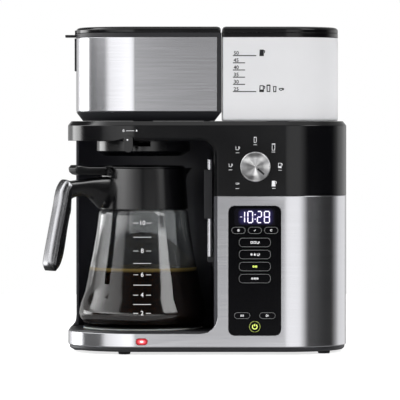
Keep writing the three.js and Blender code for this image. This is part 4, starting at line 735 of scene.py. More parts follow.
def tumbler(lidded=False):
    """A tall glass, with a lid or without."""
    marks = [loop((-0.6, 1.2), (-0.5, -1.2), (0.5, -1.2), (0.6, 1.2))]
    if lidded:
        marks.append(patch((-0.72, 1.1), (0.72, 1.1), (0.62, 1.55), (-0.62, 1.55)))
    return marks


def jug(fill):
    """A jug with its handle and lid, filled to a share."""
    top = -1.1 + 2.1 * fill
    return [loop((-0.7, 1.1), (-0.8, -1.1), (0.6, -1.1), (0.5, 1.1)),
            line((0.5, 0.9), (1.05, 0.8), (1.0, -0.1)),
            patch((-0.8, -1.1), (0.6, -1.1), (0.52, top), (-0.72, top))]


def cube(x, tilt):
    """An ice cube seen from the front."""
    return [loop(*[spoke(x, 0, 1.05, 45 + tilt + 90 * k) for k in range(4)])]


def flake(x):
    """A frost star of three crossed strokes."""
    return [line(spoke(x, 0, -1, turn), spoke(x, 0, 1, turn)) for turn in (30, 90, 150)]


def bean(x):
    """A coffee bean, solid on each side of its groove."""
    outer = [(x + a * 0.72, b) for a, b in arc(0, 0, 1, 100, 260, 8)]
    other = [(x + 0.12 + a * 0.72, b) for a, b in arc(0, 0, 1, -80, 80, 8)]
    return [patch(*outer), patch(*other)]


def drop(x=0.0, filled=True):
    """A drop of water."""
    outline = [(x, 1.2), *[(x + a, b - 0.25) for a, b in arc(0, 0, 0.72, 30, -210, 10)]]
    return [patch(*outline) if filled else loop(*outline)]


def waves():
    """Three strokes of rising heat."""
    return [line(*[(x + 0.25 * math.sin(4 * k), -1 + 0.4 * k) for k in range(6)]) for x in (-1.2, 0, 1.2)]


# The pictograms of the ten buttons, by node name
BUTTON_MARKS = {
    "program_button_1": [loop(*arc(0, 0, 0.95, 0, 330, 11)), line((0, 0.6), (0, 0), (0.45, 0))],
    "program_button_2": [line((-0.9, 0), (-0.25, -0.7), (0.95, 0.75))],
    "program_button_3": [line(*arc(0, 0, 0.85, 60, 340, 9)), patch((0.35, 0.5), (1.25, 0.6), (0.7, 1.25))],
    "brew_button_1": [*cube(-2.4, 8), *cube(0, -6), *moved(cup(), 2.5, 0, 1.1)],
    "brew_button_2": [*flake(-2.6), *drop(0), *moved(cup(), 2.7, 0, 1.1)],
    "brew_button_3": [*bean(-1.0), *bean(1.0)],
    "brew_button_4": [*bean(-2.0), *bean(0), *bean(2.0)],
    "setting_button_1": waves(),
    "setting_button_2": [*drop(-0.7, False), line((0.7, -0.9), (0.7, 0.9)), line((0.0, -0.2), (1.5, -0.2))],
    "power_button": [line(*arc(0, 0, 2.9, 125, 415, 22)), line((0, 0.6), (0, 3.4))],
}


# Operators

# The finishes, which all operators share
FINISHES = {}

# The share of a letter's size that a numeral is high
NUMERAL_SHARE = 0.7


class PieceOperator:
    """What the operators share."""

    bl_options = {"REGISTER"}

    def dress(self, context, rows=()):
        """Takes up the settings, and dresses nodes from rows of node, finish, slot and edge."""
        self.marks = context.scene.coffee_marks
        self.rounds = context.scene.coffee_rounds
        self.finish = FINISHES.setdefault("all", Finishes(context.scene.coffee_finish)).get
        self.stroke = self.marks.stroke / MM
        self.film = self.marks.film / MM
        for node, finish, slot, edge in rows:
            dressed(node, self.finish(finish), slot, edge)
        return {"FINISHED"}

    def mark(self, name, marks, node, ink, stroke=None, place=None, film=None):
        """Prints marks on a node's front, or by a place function of x, height and lift."""
        shape = bmesh.new()
        place = place or front_of(node)
        film = film or self.film
        for kind, points in marks:
            if kind == "patch":
                slab(shape, points, 0, film, place)
            else:
                ribbon(shape, points, kind == "loop", stroke or self.stroke, film, place)
        carry(from_bmesh(name, shape, self.finish(ink), smooth=60), node)

    def number(self, name, entries, node, ink, height, place, weight=0.0):
        """Prints numbers: entries are text, x and height of its middle, and weight is added boldness."""
        shape = bmesh.new()
        for text, x, z in entries:
            curve = bpy.data.curves.new(name, "FONT")
            curve.body = text
            curve.size = height / MM / NUMERAL_SHARE
            curve.align_x = curve.align_y = "CENTER"
            curve.extrude = self.film / 2
            curve.offset = weight
            curve.resolution_u = 3
            holder = new_object("numeral", curve)
            bpy.context.view_layer.update()
            flat = bpy.data.meshes.new_from_object(holder)
            bpy.data.objects.remove(holder)
            first = len(shape.verts)
            shape.from_mesh(flat)
            shape.verts.ensure_lookup_table()
            for vert in shape.verts[first:]:
                vert.co = place(x + vert.co.x, z + vert.co.y, self.film / 2 + vert.co.z)
            bpy.data.meshes.remove(flat)
        bmesh.ops.remove_doubles(shape, verts=shape.verts, dist=0.001 * MM)
        carry(from_bmesh(name, shape, self.finish(ink), smooth=60), node)


class COFFEE_OT_inner_parts(PieceOperator, bpy.types.Operator):
    """Gives every CAD node a finish, also those that stay hidden inside"""

    bl_idname = "coffee.inner_parts"
    bl_label = "Inner parts"

    # Finishes of slots that have another name
    BY_SLOT = {
        "steel": "brushed_stainless", "knob_steel": "spun_stainless", "gloss_black": "polished_black",
        "matte_black": "satin_black", "heater_aluminium": "cast_aluminium", "board_green": "circuit_board",
        "lens_red": "red_lens", "carafe_glass": "borosilicate", "tank_clear": "frosted_tank",
    }

    def execute(self, context):
        self.dress(context)
        for row in frame["record"]["subparts"]:
            slot = row["material_slot"]
            mesh = frame["nodes"][row["node"]].data
            mesh.materials.clear()
            mesh.materials.append(self.finish(self.BY_SLOT.get(slot, slot)))
        return {"FINISHED"}


class COFFEE_OT_base(PieceOperator, bpy.types.Operator):
    """Dresses the pan, the feet, the base band and the warming plate"""

    bl_idname = "coffee.base"
    bl_label = "Base"

    def execute(self, context):
        return self.dress(context, [
            ("base_pan", "satin_black", "matte_black", 0.3),
            ("base_housing", "satin_black", "matte_black", 0.5),
            ("warming_plate", "plate_coating", "plate_coating", 0.3),
            *[(node, "rubber", "rubber", 0) for node in frame["nodes"] if node.startswith("foot_")],
        ])


class COFFEE_OT_steel(PieceOperator, bpy.types.Operator):
    """Dresses the steel front and the steel wrap, with the lit lens in the band"""

    bl_idname = "coffee.steel"
    bl_label = "Steel front, wrap and lens"

    def execute(self, context):
        return self.dress(context, [
            ("steel_front", "brushed_stainless", "steel", 0.4),
            ("brew_wrap", "brushed_stainless", "steel", 0.35),
            ("warming_light", "red_lens", "lens_red", 0.3),
        ])


class COFFEE_OT_housing(PieceOperator, bpy.types.Operator):
    """Dresses the column, the rear cover, the fascia, the arm and the cord gland"""

    bl_idname = "coffee.housing"
    bl_label = "Housing"

    # The middle of the drip stop's sign on the fascia, and where beside it its drops stand and how large
    SIGN, DROP_AT, DROP_SCALE = (-94.5, 276), 8, 1.3
    # The pale dot on the drip stop's lever
    DOT, DOT_SIZE = (-97.6, 264.6), 1.9

    def execute(self, context):
        self.dress(context, [
            # The column and the chassis take the lighter grey, painted to lift the shade in the bay
            ("column_housing", "bay_black", "matte_black", 0.5),
            ("rear_cover", "satin_black", "matte_black", 0.3),
            ("upper_fascia", "polished_black", "gloss_black", 0.4),
            ("upper_chassis", "bay_black", "matte_black", 0.3),
            ("drip_funnel", "smooth_black", "matte_black", 0.3),
            ("drip_stop_lever", "polished_black", "matte_black", 0.4),
            ("cord_gland", "rubber", "rubber", 0.2),
        ])
        sign = [
            *moved(drop(), self.DROP_AT, 0, self.DROP_SCALE), line((-5, -0.2), (5, -0.2)),
            *moved(drop(0, False), -self.DROP_AT, 0, self.DROP_SCALE),
        ]
        self.mark("arm_marks", moved(sign, *self.SIGN), "upper_fascia", "print_light")
        dot = [patch(*pill(*self.DOT, self.DOT_SIZE, self.DOT_SIZE, self.DOT_SIZE / 2))]
        self.mark("lever_dot", dot, "drip_stop_lever", "print_light")
        return {"FINISHED"}


class COFFEE_OT_panel(PieceOperator, bpy.types.Operator):
    """Dresses the control panel and prints the clock on it"""

    bl_idname = "coffee.panel"
    bl_label = "Control panel"

    # The clock's figures: lit segments, left edge and width; and their bottom, height and middle
    FIGURES = [("bc", 40.6, 5.6), ("abcdef", 50.2, 5.8), ("abged", 61.9, 5.0), ("abcdefg", 70.5, 6.2)]
    BOTTOM, HEIGHT, MIDDLE = 163.0, 13.8, 170
    # The window's width, height and corner, the colon's place, heights and size, and the dash's ends
    WINDOW = (50, 21, 3)
    COLON, COLON_HEIGHTS, COLON_SIZE = 59.1, (167.2, 172.9), 1.4
    DASH = (40.6, 43.2)
    # The strokes of the figures and of the dash, and the gap at each end of a segment
    STROKE, THIN, GAP = 1.25, 0.6, 0.55

    def execute(self, context):
        self.dress(context, [("control_panel", "acrylic", "gloss_black", 0.3)])
        window = [patch(*pill(centre_of("control_panel")[0], self.MIDDLE, *self.WINDOW))]
        self.mark("clock_window", window, "control_panel", "display_haze")
        marks = [segment for figure in self.FIGURES for segment in self.segments(*figure)]
        size = self.COLON_SIZE
        marks += [patch(*pill(self.COLON, z, size, size, 0.3, 1)) for z in self.COLON_HEIGHTS]
        over = front_of("control_panel", -self.film)
        self.mark("clock_digits", marks, "control_panel", "lit_digits", self.STROKE, over)
        dash = [line(*[(x, self.MIDDLE) for x in self.DASH])]
        self.mark("clock_dash", dash, "control_panel", "lit_digits", self.THIN, over)
        return {"FINISHED"}

    def segments(self, lit, left, width):
        """One figure of up to seven straight segments, lettered clockwise from the top, the middle last."""
        right, bottom, top, gap = left + width, self.BOTTOM, self.BOTTOM + self.HEIGHT, self.GAP
        middle = (bottom + top) / 2
        every = {
            "a": line((left + gap, top), (right - gap, top)),
            "b": line((right, top - gap), (right, middle + gap)),
            "c": line((right, middle - gap), (right, bottom + gap)),
            "d": line((left + gap, bottom), (right - gap, bottom)),
            "e": line((left, middle - gap), (left, bottom + gap)),
            "f": line((left, top - gap), (left, middle + gap)),
            "g": line((left + gap, middle), (right - gap, middle)),
        }
        return [every[letter] for letter in lit]


class COFFEE_OT_buttons(PieceOperator, bpy.types.Operator):
    """Dresses the ten buttons and prints an outline and a pictogram on each"""

    bl_idname = "coffee.buttons"
    bl_label = "Buttons"

    # How far the outline stands inside the button's edge, the radius of its corners, its share of the usual
    # stroke, and the stroke of the power button's ring
    INSET, CORNER, THINNER, RING = 0.45, 4.6, 0.6, 0.45
    # The scale and the stroke of the signs, by kind of button, and the buttons with a lamp
    SIGNS = {"program": (1.25, 0.5), "setting": (1.25, 0.5), "brew": (1.55, 0.6), "power": (1, 0.95)}
    LIT = ("brew_button_3", "power_button")

    def execute(self, context):
        for node, pictogram in BUTTON_MARKS.items():
            self.dress(context, [(node, "acrylic", "gloss_black", 0.25)])
            x, _, z = centre_of(node)
            width, _, height = (size - 2 * self.INSET for size in size_of(node))
            power = node == "power_button"
            corner = height / 2 if power else min(height / 2, self.CORNER)
            ink, stroke = ("lit_ring", self.RING) if power else ("print_outline", self.stroke * self.THINNER)
            self.mark(node + "_outline", [loop(*pill(x, z, width, height, corner, 8))], node, ink, stroke)
            ink = "lit_lime" if node in self.LIT else "print_light"
            scale, stroke = self.SIGNS[node.split("_")[0]]
            self.mark(node + "_sign", moved(pictogram, x, z, scale), node, ink, stroke)
        return {"FINISHED"}


class COFFEE_OT_knob(PieceOperator, bpy.types.Operator):
    """Turns the size knob with its grip ribs, and prints the scale round it"""

    bl_idname = "coffee.knob"
    bl_label = "Size knob"

    # How deep the ribs stand in the knob's side
    GROOVE = 0.55
    # The pointer's angle, the distances of its ends, its stroke, its film and how deep it lies
    ANGLE, ENDS, STROKE, FILM, DEEP = -41, (3.8, 14.2), 2.3, 0.15, 0.5
    # The signs of the scale: pictogram, place beside the knob's middle and scale; and the line under each
    SIGNS = [
        (mug(), -22.0, -22.2, 0.72), (cup(), -30.3, 0.7, 0.78), (cup(), -21.7, 21.7, 0.86),
        (tumbler(True), 0, 31.5, 0.8), (tumbler(True), 22.4, 22.6, 0.95), (jug(0.35), 30.5, 0.3, 0.85),
        (jug(1.0), 22.8, -22.0, 0.95),
    ]
    SIGN_UP, UNDER = 1.2, line((-2.2, -4.6), (2.2, -4.6))

    def execute(self, context):
        self.dress(context)
        steel = self.finish("spun_stainless")
        x, y, z = centre_of("size_knob")
        width, depth, _ = size_of("size_knob")
        radius = width / 2
        # The dished face, the raised ring round it, the rim, and the groove for the ribs
        profile = [
            (0, depth - 0.55), (radius * 0.5, depth - 0.52), (radius - 2.6, depth - 0.45),
            (radius - 1.9, depth - 0.12), (radius - 1.4, depth), (radius - 0.8, depth - 0.12),
            (radius - 0.3, depth - 0.6), (radius, depth - 1.3), (radius, depth - 3.6),
            (radius - self.GROOVE, depth - 4.0), (radius - self.GROOVE, 1.0), (radius - 1.3, 0), (0, 0),
        ]
        stand = Matrix.Translation(at(x, y + depth / 2, z)) @ Matrix.Rotation(math.radians(90), 4, "X")
        body = turned("size_knob_cap", profile, steel, self.rounds.knob_steps, smooth=40, stand=stand)
        carry(body, "size_knob", "knob_steel", True)
        rib = self.rounds.rib / MM
        shape = bmesh.new()
        across = [(-0.3, -rib / 2), (0.52, -rib / 5), (0.52, rib / 5), (-0.3, rib / 2)]
        slab(shape, across, 1.6, depth - 4.4, lambda a, b, h: Vector((a, b, h)) * MM)
        ribs = from_bmesh("size_knob_ribs", shape, steel)
        around = (radius - self.GROOVE) * MM
        grown(ribs, ring_tree, {"Count": self.rounds.knob_ribs, "Radius": around, "Material": steel})
        ribs.data.transform(stand)
        carry(ribs, "size_knob", "knob_steel")
        pointer = [line(*[spoke(x, z, end, self.ANGLE) for end in self.ENDS])]
        face = front_of("size_knob", self.DEEP)
        self.mark("size_knob_pointer", pointer, "size_knob", "print_dark", self.STROKE, face, self.FILM)
        unit = self.marks.pictogram / MM / 2
        marks = []
        for sign, right, up, scale in self.SIGNS:
            marks += moved(sign, x + right, z + up + self.SIGN_UP, unit * scale)
            marks += moved([self.UNDER], x + right, z + up)
        self.mark("size_scale", marks, "upper_fascia", "print_light", self.stroke * 0.9)
        return {"FINISHED"}


class COFFEE_OT_shelf(PieceOperator, bpy.types.Operator):
    """Dresses the fold-down cup shelf"""

    bl_idname = "coffee.shelf"
    bl_label = "Cup shelf"

    def execute(self, context):
        return self.dress(context, [
            ("cup_shelf", "satin_black", "matte_black", 0.4),
            ("shelf_trim", "brushed_strip", "steel", 0.4),
            ("shelf_pull", "satin_black", "matte_black", 0.6),
            ("shelf_bracket", "satin_black", "matte_black", 0.2),
        ])


class COFFEE_OT_brew(PieceOperator, bpy.types.Operator):
    """Dresses the brew section with its basket, lid and shower head"""

    bl_idname = "coffee.brew"
    bl_label = "Brew section"

    def execute(self, context):
        return self.dress(context, [
            ("brew_housing", "satin_black", "matte_black", 0.15),
            ("side_grip", "satin_black", "matte_black", 0.4),
            ("filter_basket", "satin_black", "matte_black", 0.3),
            ("brew_lid", "polished_black", "gloss_black", 0.4),
            ("shower_head", "satin_black", "matte_black", 0.3),
        ])


class COFFEE_OT_tank(PieceOperator, bpy.types.Operator):
    """Dresses the water tank and prints its level marks"""

    bl_idname = "coffee.tank"
    bl_label = "Water tank"

    # The lowest mark's height, the ends of the short marks and of the two long ones, and their stroke
    BOTTOM, SHORT, LONG, STROKE = 324.0, (31.8, 46.8), 60.4, 1.15
    # The lowest number and the step to the next, their place across and over the marks, and their boldness
    NUMBERS, NUMBER_AT, BOLD = (25, 5), (35.9, 3.0), 0.13
    # The signs beside the top mark and beside the lowest: pictogram, place across and over it, and scale
    TOP_SIGN = (jug(1.0), 67.5, 3.4, 3.1)
    SIGNS = [
        (jug(0.35), 67.5, 3.6, 3.3), (tumbler(True), 75.6, 3.8, 3.1), (tumbler(), 83.3, 3.0, 2.6),
        (mug(), 91.3, 2.6, 3.0),
    ]

    def execute(self, context):
        self.dress(context, [
            ("tank_body", "frosted_tank", "tank_clear", 0.4),
            ("tank_rim", "polished_black", "gloss_black", 0.3),
            ("tank_lid", "polished_black", "gloss_black", 0.4),
            ("tank_valve", "satin_black", "matte_black", 0.2),
        ])
        place, ink, bottom = front_of("tank_body"), self.finish("print_dark"), self.BOTTOM
        pitch, count = self.marks.tank_pitch, self.marks.tank_marks
        heights = [bottom + pitch / MM * k for k in range(count)]
        shape = bmesh.new()
        ribbon(shape, [(x, bottom) for x in self.SHORT], False, self.STROKE, self.film, place)
        ladder = from_bmesh("tank_lines", shape, ink)
        grown(ladder, ladder_tree, {"Count": count, "Pitch": pitch, "Material": ink})
        carry(ladder, "tank_body")
        marks = [line((self.SHORT[1], z), (self.LONG, z)) for z in (bottom, heights[-1])]
        signs = [(heights[-1], self.TOP_SIGN), *[(bottom, row) for row in self.SIGNS]]
        for height, (sign, x, up, scale) in signs:
            marks += moved(sign, x, height + up, scale)
        self.mark("tank_signs", marks, "tank_body", "print_dark", self.STROKE)
        (first, step), (x, up) = self.NUMBERS, self.NUMBER_AT
        entries = [(str(first + step * k), x, height + up) for k, height in enumerate(heights)]
        tall = self.marks.tank_numeral
        self.number("tank_figures", entries, "tank_body", "print_dark", tall, place, self.BOLD)
        return {"FINISHED"}


class COFFEE_OT_carafe(PieceOperator, bpy.types.Operator):
    """Turns the glass carafe, fills it with coffee and dresses its collar, handle and lid"""

    bl_idname = "coffee.carafe"
    bl_label = "Carafe"

    # The glass: its outline as shares of its radius and height, the neck's radius and foot, and the wall.
    # Radii of its foot: where the hollow ends, where the ring stands, and where the wall bends, out and in.
    OUTLINE = [
        (0.94, 0.026), (1, 0.089), (0.975, 0.166), (0.912, 0.264), (0.871, 0.364), (0.831, 0.477),
        (0.791, 0.585), (0.741, 0.742), (0.7, 0.91),
    ]
    NECK, NECK_FOOT, WALL = 52.8, 176, 2.2
    HOLLOW, RING_IN, RING_OUT, BEND_OUT, BEND_IN = 44, 48, 60, 66, 62
    # The marks: numbers with their heights, the heights of the lines between, and how far the marks reach
    FIGURES = [("10", 161.6), ("8", 127.2), ("6", 98.0), ("4", 73.1), ("2", 51.0)]
    BETWEEN = (144.2, 112.0, 85.4, 61.8)
    MARK = (11, 4.8)
    # The handle, as in the solids: its reach from the carafe's axis, its heights, and the way it points
    REACH, HEIGHT, TURN = (52.6, 138.8), (103.0, 216.0), math.radians(210)
    # Shares of reach and height: the arm's outer and inner points, the grip's two lines, and the toe's pair
    ARM = [
        (-0.02, 1.024, 0.015, 0.673), (0.109, 1.023, 0.109, 0.673), (0.155, 1.018, 0.155, 0.7),
        (0.25, 1.008, 0.25, 0.766), (0.38, 0.996, 0.36, 0.8), (0.51, 0.984, 0.47, 0.808),
        (0.62, 0.978, 0.56, 0.79),
    ]
    GRIP_OUTER = [(0.696, 1), (0.78, 0.885), (0.834, 0.686), (0.91, 0.416), (0.972, 0.186), (1, 0.053)]
    GRIP_INNER = [
        (0.602, 0.761), (0.596, 0.7), (0.6, 0.632), (0.636, 0.53), (0.693, 0.274), (0.74, 0.12), (0.8, 0.035),
    ]
    TOE = (0.935, 0, 0.86, 0)
    # The grip's width, the depth of the sleeve's seat, its steps down, and the samples for each step
    WIDTH, SEAT, GRIP_STEPS, FINE = 24.0, 2.7, 9, 4
    # One side of its section as shares of depth and half width, and where and how often its corners are cut
    SECTION = [(0, 0.75), (0.1, 1), (0.55, 1), (0.85, 0.7), (1, 0.3)]
    CUTS, CUT_TIMES = (0.2, 0.8), 2
    # The steel sleeve: width, depth, squareness, steps down and across, and how it swells from each end
    SLEEVE_WIDTH, SLEEVE_DEPTH, SQUARENESS, SLEEVE_STEPS = 25.0, 9.0, 3.4, (36, 28)
    SLEEVE_ENDS = [0.82, 0.92, 0.97, 1.0]

    def execute(self, context):
        self.dress(context)
        x, y, z = centre_of("carafe_glass")
        width, _, height = size_of("carafe_glass")
        radius, bottom, top, neck, wall = width / 2, z - height / 2, z + height / 2, self.NECK, self.WALL
        outer = smooth_line([(r * radius, bottom + h * height) for r, h in self.OUTLINE], 6)
        outer = [(r, h) for r, h in outer if h < self.NECK_FOOT]
        outer += [(neck + 0.5, 177.2), (neck, 178.4), (neck, top - 0.6), (neck - 0.6, top)]
        inner = [(r - wall, max(h, bottom + wall)) for r, h in outer[:-1]] + [(neck - wall + 0.5, top)]
        profile = [
            (0, bottom + 0.8), (self.HOLLOW, bottom + 0.6), (self.RING_IN, bottom), (self.RING_OUT, bottom),
            (self.BEND_OUT, bottom + 0.3), *outer, *inner[::-1], (self.BEND_IN, bottom + wall + 0.2),
            (self.RING_IN, bottom + wall), (0, bottom + wall + 0.6),
        ]
        stand, steps = Matrix.Translation(at(x, y, 0)), self.rounds.glass_steps
        clear = self.finish("borosilicate")
        glass = turned("carafe_glass_blown", profile, clear, steps, smooth=60, stand=stand)
        carry(glass, "carafe_glass", "carafe_glass", True)
        level = self.rounds.coffee_level / MM
        side = [(r + 0.1, h) for r, h in inner if h < level and r > self.BEND_IN]
        (near, low), (far, high) = side[-1], [(r, h) for r, h in inner if h >= level][0]
        meet = near + (far - near) * (level - low) / (high - low)
        # The coffee cuts 0.1 mm into the wall, so no air shows between them, and its surface climbs the glass
        floor = bottom + wall
        liquid = [
            (0, floor + 0.5), (self.RING_IN, floor - 0.1), (self.BEND_IN, floor + 0.1), *side,
            (meet + 0.1, level), (meet - 1.2, level - 0.35), (meet - 3, level - 0.5), (0, level - 0.5),
        ]
        coffee = turned("coffee", liquid, self.finish("coffee_liquid"), steps, smooth=40, stand=stand)
        carry(coffee, "carafe_glass")
        self.scale(x, y, outer)
        self.handle(x, y)
        return self.dress(context, [
            ("carafe_collar", "smooth_black", "gloss_black", 0.5),
            ("carafe_lid", "smooth_black", "gloss_black", 0.4),
        ])

    def placed(self, x, y, point, across):
        """Reach, height and sideways distance as a frame point."""
        out, side = math.cos(self.TURN), math.sin(self.TURN)
        return at(x + out * point.x - side * across, y + side * point.x + out * across, point.y)

    def spots(self, shares):
        """Shares as points of reach and height."""
        (near, far), (low, high) = self.REACH, self.HEIGHT
        return [Vector((near + share * (far - near), low + up * (high - low))) for share, up in shares]

    def spaced(self, shares, count):
        """Points that part a smooth line through shares into a number of steps."""
        fine = smooth_line(self.spots(shares), count)
        return [fine[round(k * (len(fine) - 1) / count)] for k in range(count + 1)]

    def inward(self, points, k):
        """The unit way inward at one point of a line that runs down the grip."""
        along = (points[min(k + 1, len(points) - 1)] - points[max(k - 1, 0)]).normalized()
        return Vector((along.y, -along.x))

    def loft(self, name, rings, finish, node, slot, smooth):
        """A closed skin through rings of points, in a node's place."""
        shape = bmesh.new()
        join(shape, [[shape.verts.new(point) for point in ring] for ring in rings])
        carry(from_bmesh(name, shape, self.finish(finish), smooth), node, slot, True)

    def handle(self, x, y):
        """Lofts the grip in the solids' sections, rounded, and the steel sleeve over its outer side."""
        outer, inner = (self.spaced(side, self.GRIP_STEPS) for side in (self.GRIP_OUTER, self.GRIP_INNER))
        outside = self.spots([row[:2] for row in self.ARM])
        outside += [point + self.inward(outer, k) * self.SEAT for k, point in enumerate(outer)]
        outside = smooth_line(outside + self.spots([self.TOE[:2]]), self.FINE)
        inside = self.spots([row[2:] for row in self.ARM]) + inner + self.spots([self.TOE[2:]])
        section = self.SECTION + [(depth, -half) for depth, half in self.SECTION[::-1]]
        for _ in range(self.CUT_TIMES):
            pairs = zip(section, section[1:] + section[:1])
            section = [
                (a * (1 - cut) + c * cut, b * (1 - cut) + d * cut)
                for (a, b), (c, d) in pairs for cut in self.CUTS
            ]
        rings = [
            [self.placed(x, y, a.lerp(b, depth), half * self.WIDTH / 2) for depth, half in section]
            for a, b in zip(outside, smooth_line(inside, self.FINE))
        ]
        self.loft("carafe_grip", rings, "smooth_black", "carafe_handle", "matte_black", smooth=60)
        down, steps = self.SLEEVE_STEPS
        path, power = self.spaced(self.GRIP_OUTER, down), 2 / self.SQUARENESS
        rings = []
        for k, point in enumerate(path):
            part = self.SLEEVE_ENDS[min(k, len(path) - 1 - k, len(self.SLEEVE_ENDS) - 1)]
            rings.append([])
            for n in range(steps, -1, -1):
                c, h = spoke(0, 0, 1, 180 * n / steps)
                across = math.copysign(abs(c) ** power, c) * self.SLEEVE_WIDTH / 2 * part
                depth = ((1 - max(h, 0) ** power) * part + (1 - part) / 2) * self.SLEEVE_DEPTH
                rings[-1].append(self.placed(x, y, point + self.inward(path, k) * depth, across))
        self.loft("grip_sleeve", rings, "formed_stainless", "handle_strip", "steel", smooth=50)

    def scale(self, x, y, outer):
        """Prints the cup marks on the front of the glass."""

        def place(across, height, lift):
            """Wraps a flat mark round the glass."""
            spans = [(a, b) for a, b in zip(outer, outer[1:]) if a[1] <= height <= b[1]]
            (near, low), (far, high) = spans[0]
            radius = near + (far - near) * (height - low) / (high - low) + lift
            turn = across / radius
            return at(x + radius * math.sin(turn), y - radius * math.cos(turn), height)

        far, near = self.MARK
        marks = [line((a, z), (b, z)) for _, z in self.FIGURES for a, b in ((-far, -near), (near, far))]
        marks += [line(*[(-far + 2 * k, z) for k in range(12)]) for z in self.BETWEEN]
        self.mark("glass_lines", marks, "carafe_glass", "print_light", place=place)
        entries = [(text, 0, z) for text, z in self.FIGURES]
        self.number("glass_figures", entries, "carafe_glass", "print_light", self.marks.numeral, place)


class COFFEE_OT_stage(PieceOperator, bpy.types.Operator):
    """Lays the floor, lights the studio and sets the camera"""

    bl_idname = "coffee.stage"
    bl_label = "Floor, light and camera"

    # Brightness of the surround by angle from straight ahead, in rings from under the level to the top
    UNDER = [(-180, 0.22), (180, 0.22)]
    BELOW = [
        (-180, 0.4), (-160, 0.5), (-146, 1.3), (-108, 1.5), (-100, 0.2), (-64, 0.1), (-52, 1.1), (-12, 1.5),
        (-5, 1.5), (-1, 1.2), (2, 1.3), (6, 1.5), (30, 1.3), (44, 0.04), (98, 0.04), (110, 0.5), (120, 0.9),
        (150, 0.9), (162, 0.5), (180, 0.4),
    ]
    LEVEL = [
        (-180, 0.4), (-160, 0.5), (-138, 0.9), (-131, 5.0), (-110, 5.0), (-104, 0.8), (-99, 0.05),
        (-62, 0.03), (-52, 0.9), (-14, 1.6), (-5, 1.4), (-2.4, 0.1), (2.0, 0.1), (5, 1.0), (10, 1.1),
        (28, 1.1), (43, 0.02), (100, 0.02), (112, 0.35), (122, 0.85), (150, 0.9), (160, 0.5), (180, 0.4),
    ]
    MIDDLE = [
        (-180, 0.5), (-150, 0.4), (-122, 0.5), (-112, 1.6), (-92, 2.8), (-76, 4.6), (-54, 3.8),
        (-38, 2.2), (-20, 0.6), (-4, 0.05), (40, 0.04), (48, 0.8), (60, 0.8), (70, 0.1), (104, 0.1),
        (130, 0.7), (180, 0.5),
    ]
    ABOVE = [
        (-180, 0.12), (-150, 0.1), (-118, 0.1), (-112, 4.6), (-100, 4.2), (-78, 1.9), (-48, 1.3), (-42, 0.1),
        (-15, 0.05), (15, 0.05), (37, 0.1), (41, 4.8), (65, 4.8), (74, 0.3), (120, 0.3), (180, 0.5),
    ]
    TOP = [(-180, 1.1), (0, 1.1), (40, 0.8), (140, 0.8), (180, 1.1)]
    RINGS = [UNDER, BELOW, LEVEL, MIDDLE, ABOVE, TOP]
    # The heights in degrees between which each ring goes over into the next, and what white stands for
    STEPS = [(-13, -7), (-8, -2), (4, 6.5), (11, 14), (48, 62)]
    BRIGHTEST = 5.0

    def execute(self, context):
        stage = context.scene.coffee_stage
        self.floor(stage)
        self.surround(context.scene, stage)
        self.camera(context.scene, stage)
        context.scene.view_settings.view_transform = "Standard"
        return {"FINISHED"}

    def floor(self, stage):
        """A pale disc just under the feet, which lights the machine but isn't mirrored in it."""
        shape = bmesh.new()
        bmesh.ops.create_circle(shape, cap_ends=True, radius=stage.floor_reach, segments=96)
        settings = {"Emission Color": (*stage.floor, 1), "Emission Strength": stage.floor_glow}
        finish = grained("pale_floor", stage.floor, 0.9, settings, 30 * MM, tint=0.01)
        floor = from_bmesh("floor", shape, finish)
        floor.data.transform(Matrix.Translation((0, 0, -0.2 * MM)))
        floor.visible_glossy = False

    def surround(self, scene, stage):
        """A white studio whose brightness goes by direction, as soft boxes and dark flags do."""
        scene.world = bpy.data.worlds.new("studio")
        scene.world.use_nodes = True
        tree = scene.world.node_tree
        tree.nodes.clear()
        place = add(tree, "ShaderNodeTexCoord").outputs["Generated"]
        split = add(tree, "ShaderNodeSeparateXYZ", links={0: place})
        ahead = add(tree, "ShaderNodeMath", {"operation": "MULTIPLY", 1: -1.0}, {0: split.outputs["Y"]})
        links = {0: split.outputs["X"], 1: ahead}
        turn = add(tree, "ShaderNodeMath", {"operation": "ARCTAN2"}, links)
        share = add(tree, "ShaderNodeMapRange", {"From Min": -math.pi, "From Max": math.pi}, {"Value": turn})
        mixed = None
        for stops, step in zip(self.RINGS, (None, *self.STEPS)):
            fan = add(tree, "ShaderNodeValToRGB", links={"Fac": share})
            elements = fan.color_ramp.elements
            while len(elements) < len(stops):
                elements.new(0.5)
            for element, (angle, value) in zip(elements, stops):
                element.position = angle / 360 + 0.5
                element.color = (*[value / self.BRIGHTEST] * 3, 1)
            if mixed is None:
                mixed = fan.outputs["Color"]
                continue
            low, high = (math.sin(math.radians(angle)) for angle in step)
            settings = {"From Min": low, "From Max": high}
            lift = add(tree, "ShaderNodeMapRange", settings, {"Value": split.outputs["Z"]})
            mixed = add(tree, "ShaderNodeMix", {"data_type": "RGBA"}, {0: lift, 6: mixed, 7: fan}).outputs[2]
        lit = add(tree, "ShaderNodeBackground", {"Strength": self.BRIGHTEST * stage.light}, {"Color": mixed})
        # The camera sees plain white behind the machine
        plain = add(tree, "ShaderNodeBackground", {"Color": (1, 1, 1, 1), "Strength": 1.0})
        seen = add(tree, "ShaderNodeLightPath").outputs["Is Camera Ray"]
        choice = add(tree, "ShaderNodeMixShader", links={0: seen, 1: lit, 2: plain})
        add(tree, "ShaderNodeOutputWorld", links={"Surface": choice})

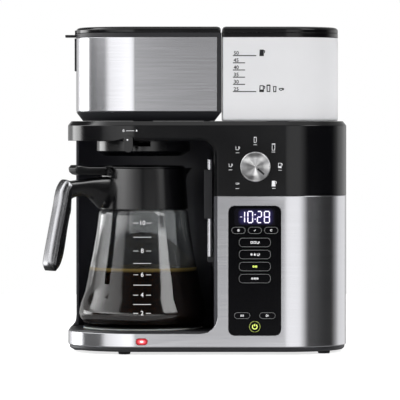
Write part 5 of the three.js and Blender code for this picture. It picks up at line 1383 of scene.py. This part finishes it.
    def camera(self, scene, stage):
        """A long lens in front of the machine, a little above its middle."""
        data = bpy.data.cameras.new("camera")
        data.lens = data.sensor_width * stage.camera_distance / stage.view_width
        data.clip_end = 100
        eye = new_object("camera", data)
        eye.location = at(0, 0, 0) + Vector((0, -stage.camera_distance, stage.camera_height))
        aim = at(0, 0, 0) + Vector((stage.aim_x, 0, stage.aim_height))
        eye.rotation_euler = (aim - eye.location).to_track_quat("-Z", "Y").to_euler()
        scene.camera = eye


OPERATORS = (
    COFFEE_OT_inner_parts, COFFEE_OT_base, COFFEE_OT_steel, COFFEE_OT_housing, COFFEE_OT_panel,
    COFFEE_OT_buttons, COFFEE_OT_knob, COFFEE_OT_shelf, COFFEE_OT_brew, COFFEE_OT_tank,
    COFFEE_OT_carafe, COFFEE_OT_stage,
)


class COFFEE_PT_dressing(bpy.types.Panel):
    """Lists the operators and the settings"""

    bl_label = "Coffee maker"
    bl_space_type = "VIEW_3D"
    bl_region_type = "UI"
    bl_category = "Coffee maker"

    def draw(self, context):
        for operator in OPERATORS:
            self.layout.operator(operator.bl_idname)
        for group in SETTINGS:
            settings = getattr(context.scene, group)
            box = self.layout.box()
            for name in settings.__annotations__:
                box.prop(settings, name)


SETTINGS = {
    "coffee_finish": FinishSettings, "coffee_marks": MarkSettings,
    "coffee_rounds": RoundSettings, "coffee_stage": StageSettings,
}


def register():
    """Registers the settings, the operators and the panel."""
    for name, group in SETTINGS.items():
        bpy.utils.register_class(group)
        setattr(bpy.types.Scene, name, PointerProperty(type=group))
    for item in (*OPERATORS, COFFEE_PT_dressing):
        bpy.utils.register_class(item)


def unregister():
    """Takes them out again."""
    for item in (COFFEE_PT_dressing, *reversed(OPERATORS)):
        bpy.utils.unregister_class(item)
    for name, group in SETTINGS.items():
        delattr(bpy.types.Scene, name)
        bpy.utils.unregister_class(group)


def main():
    """Dresses the machine."""
    register()
    for operator in OPERATORS:
        group, action = operator.bl_idname.split(".")
        getattr(getattr(bpy.ops, group), action)()


if __name__ == "__main__":
    main()
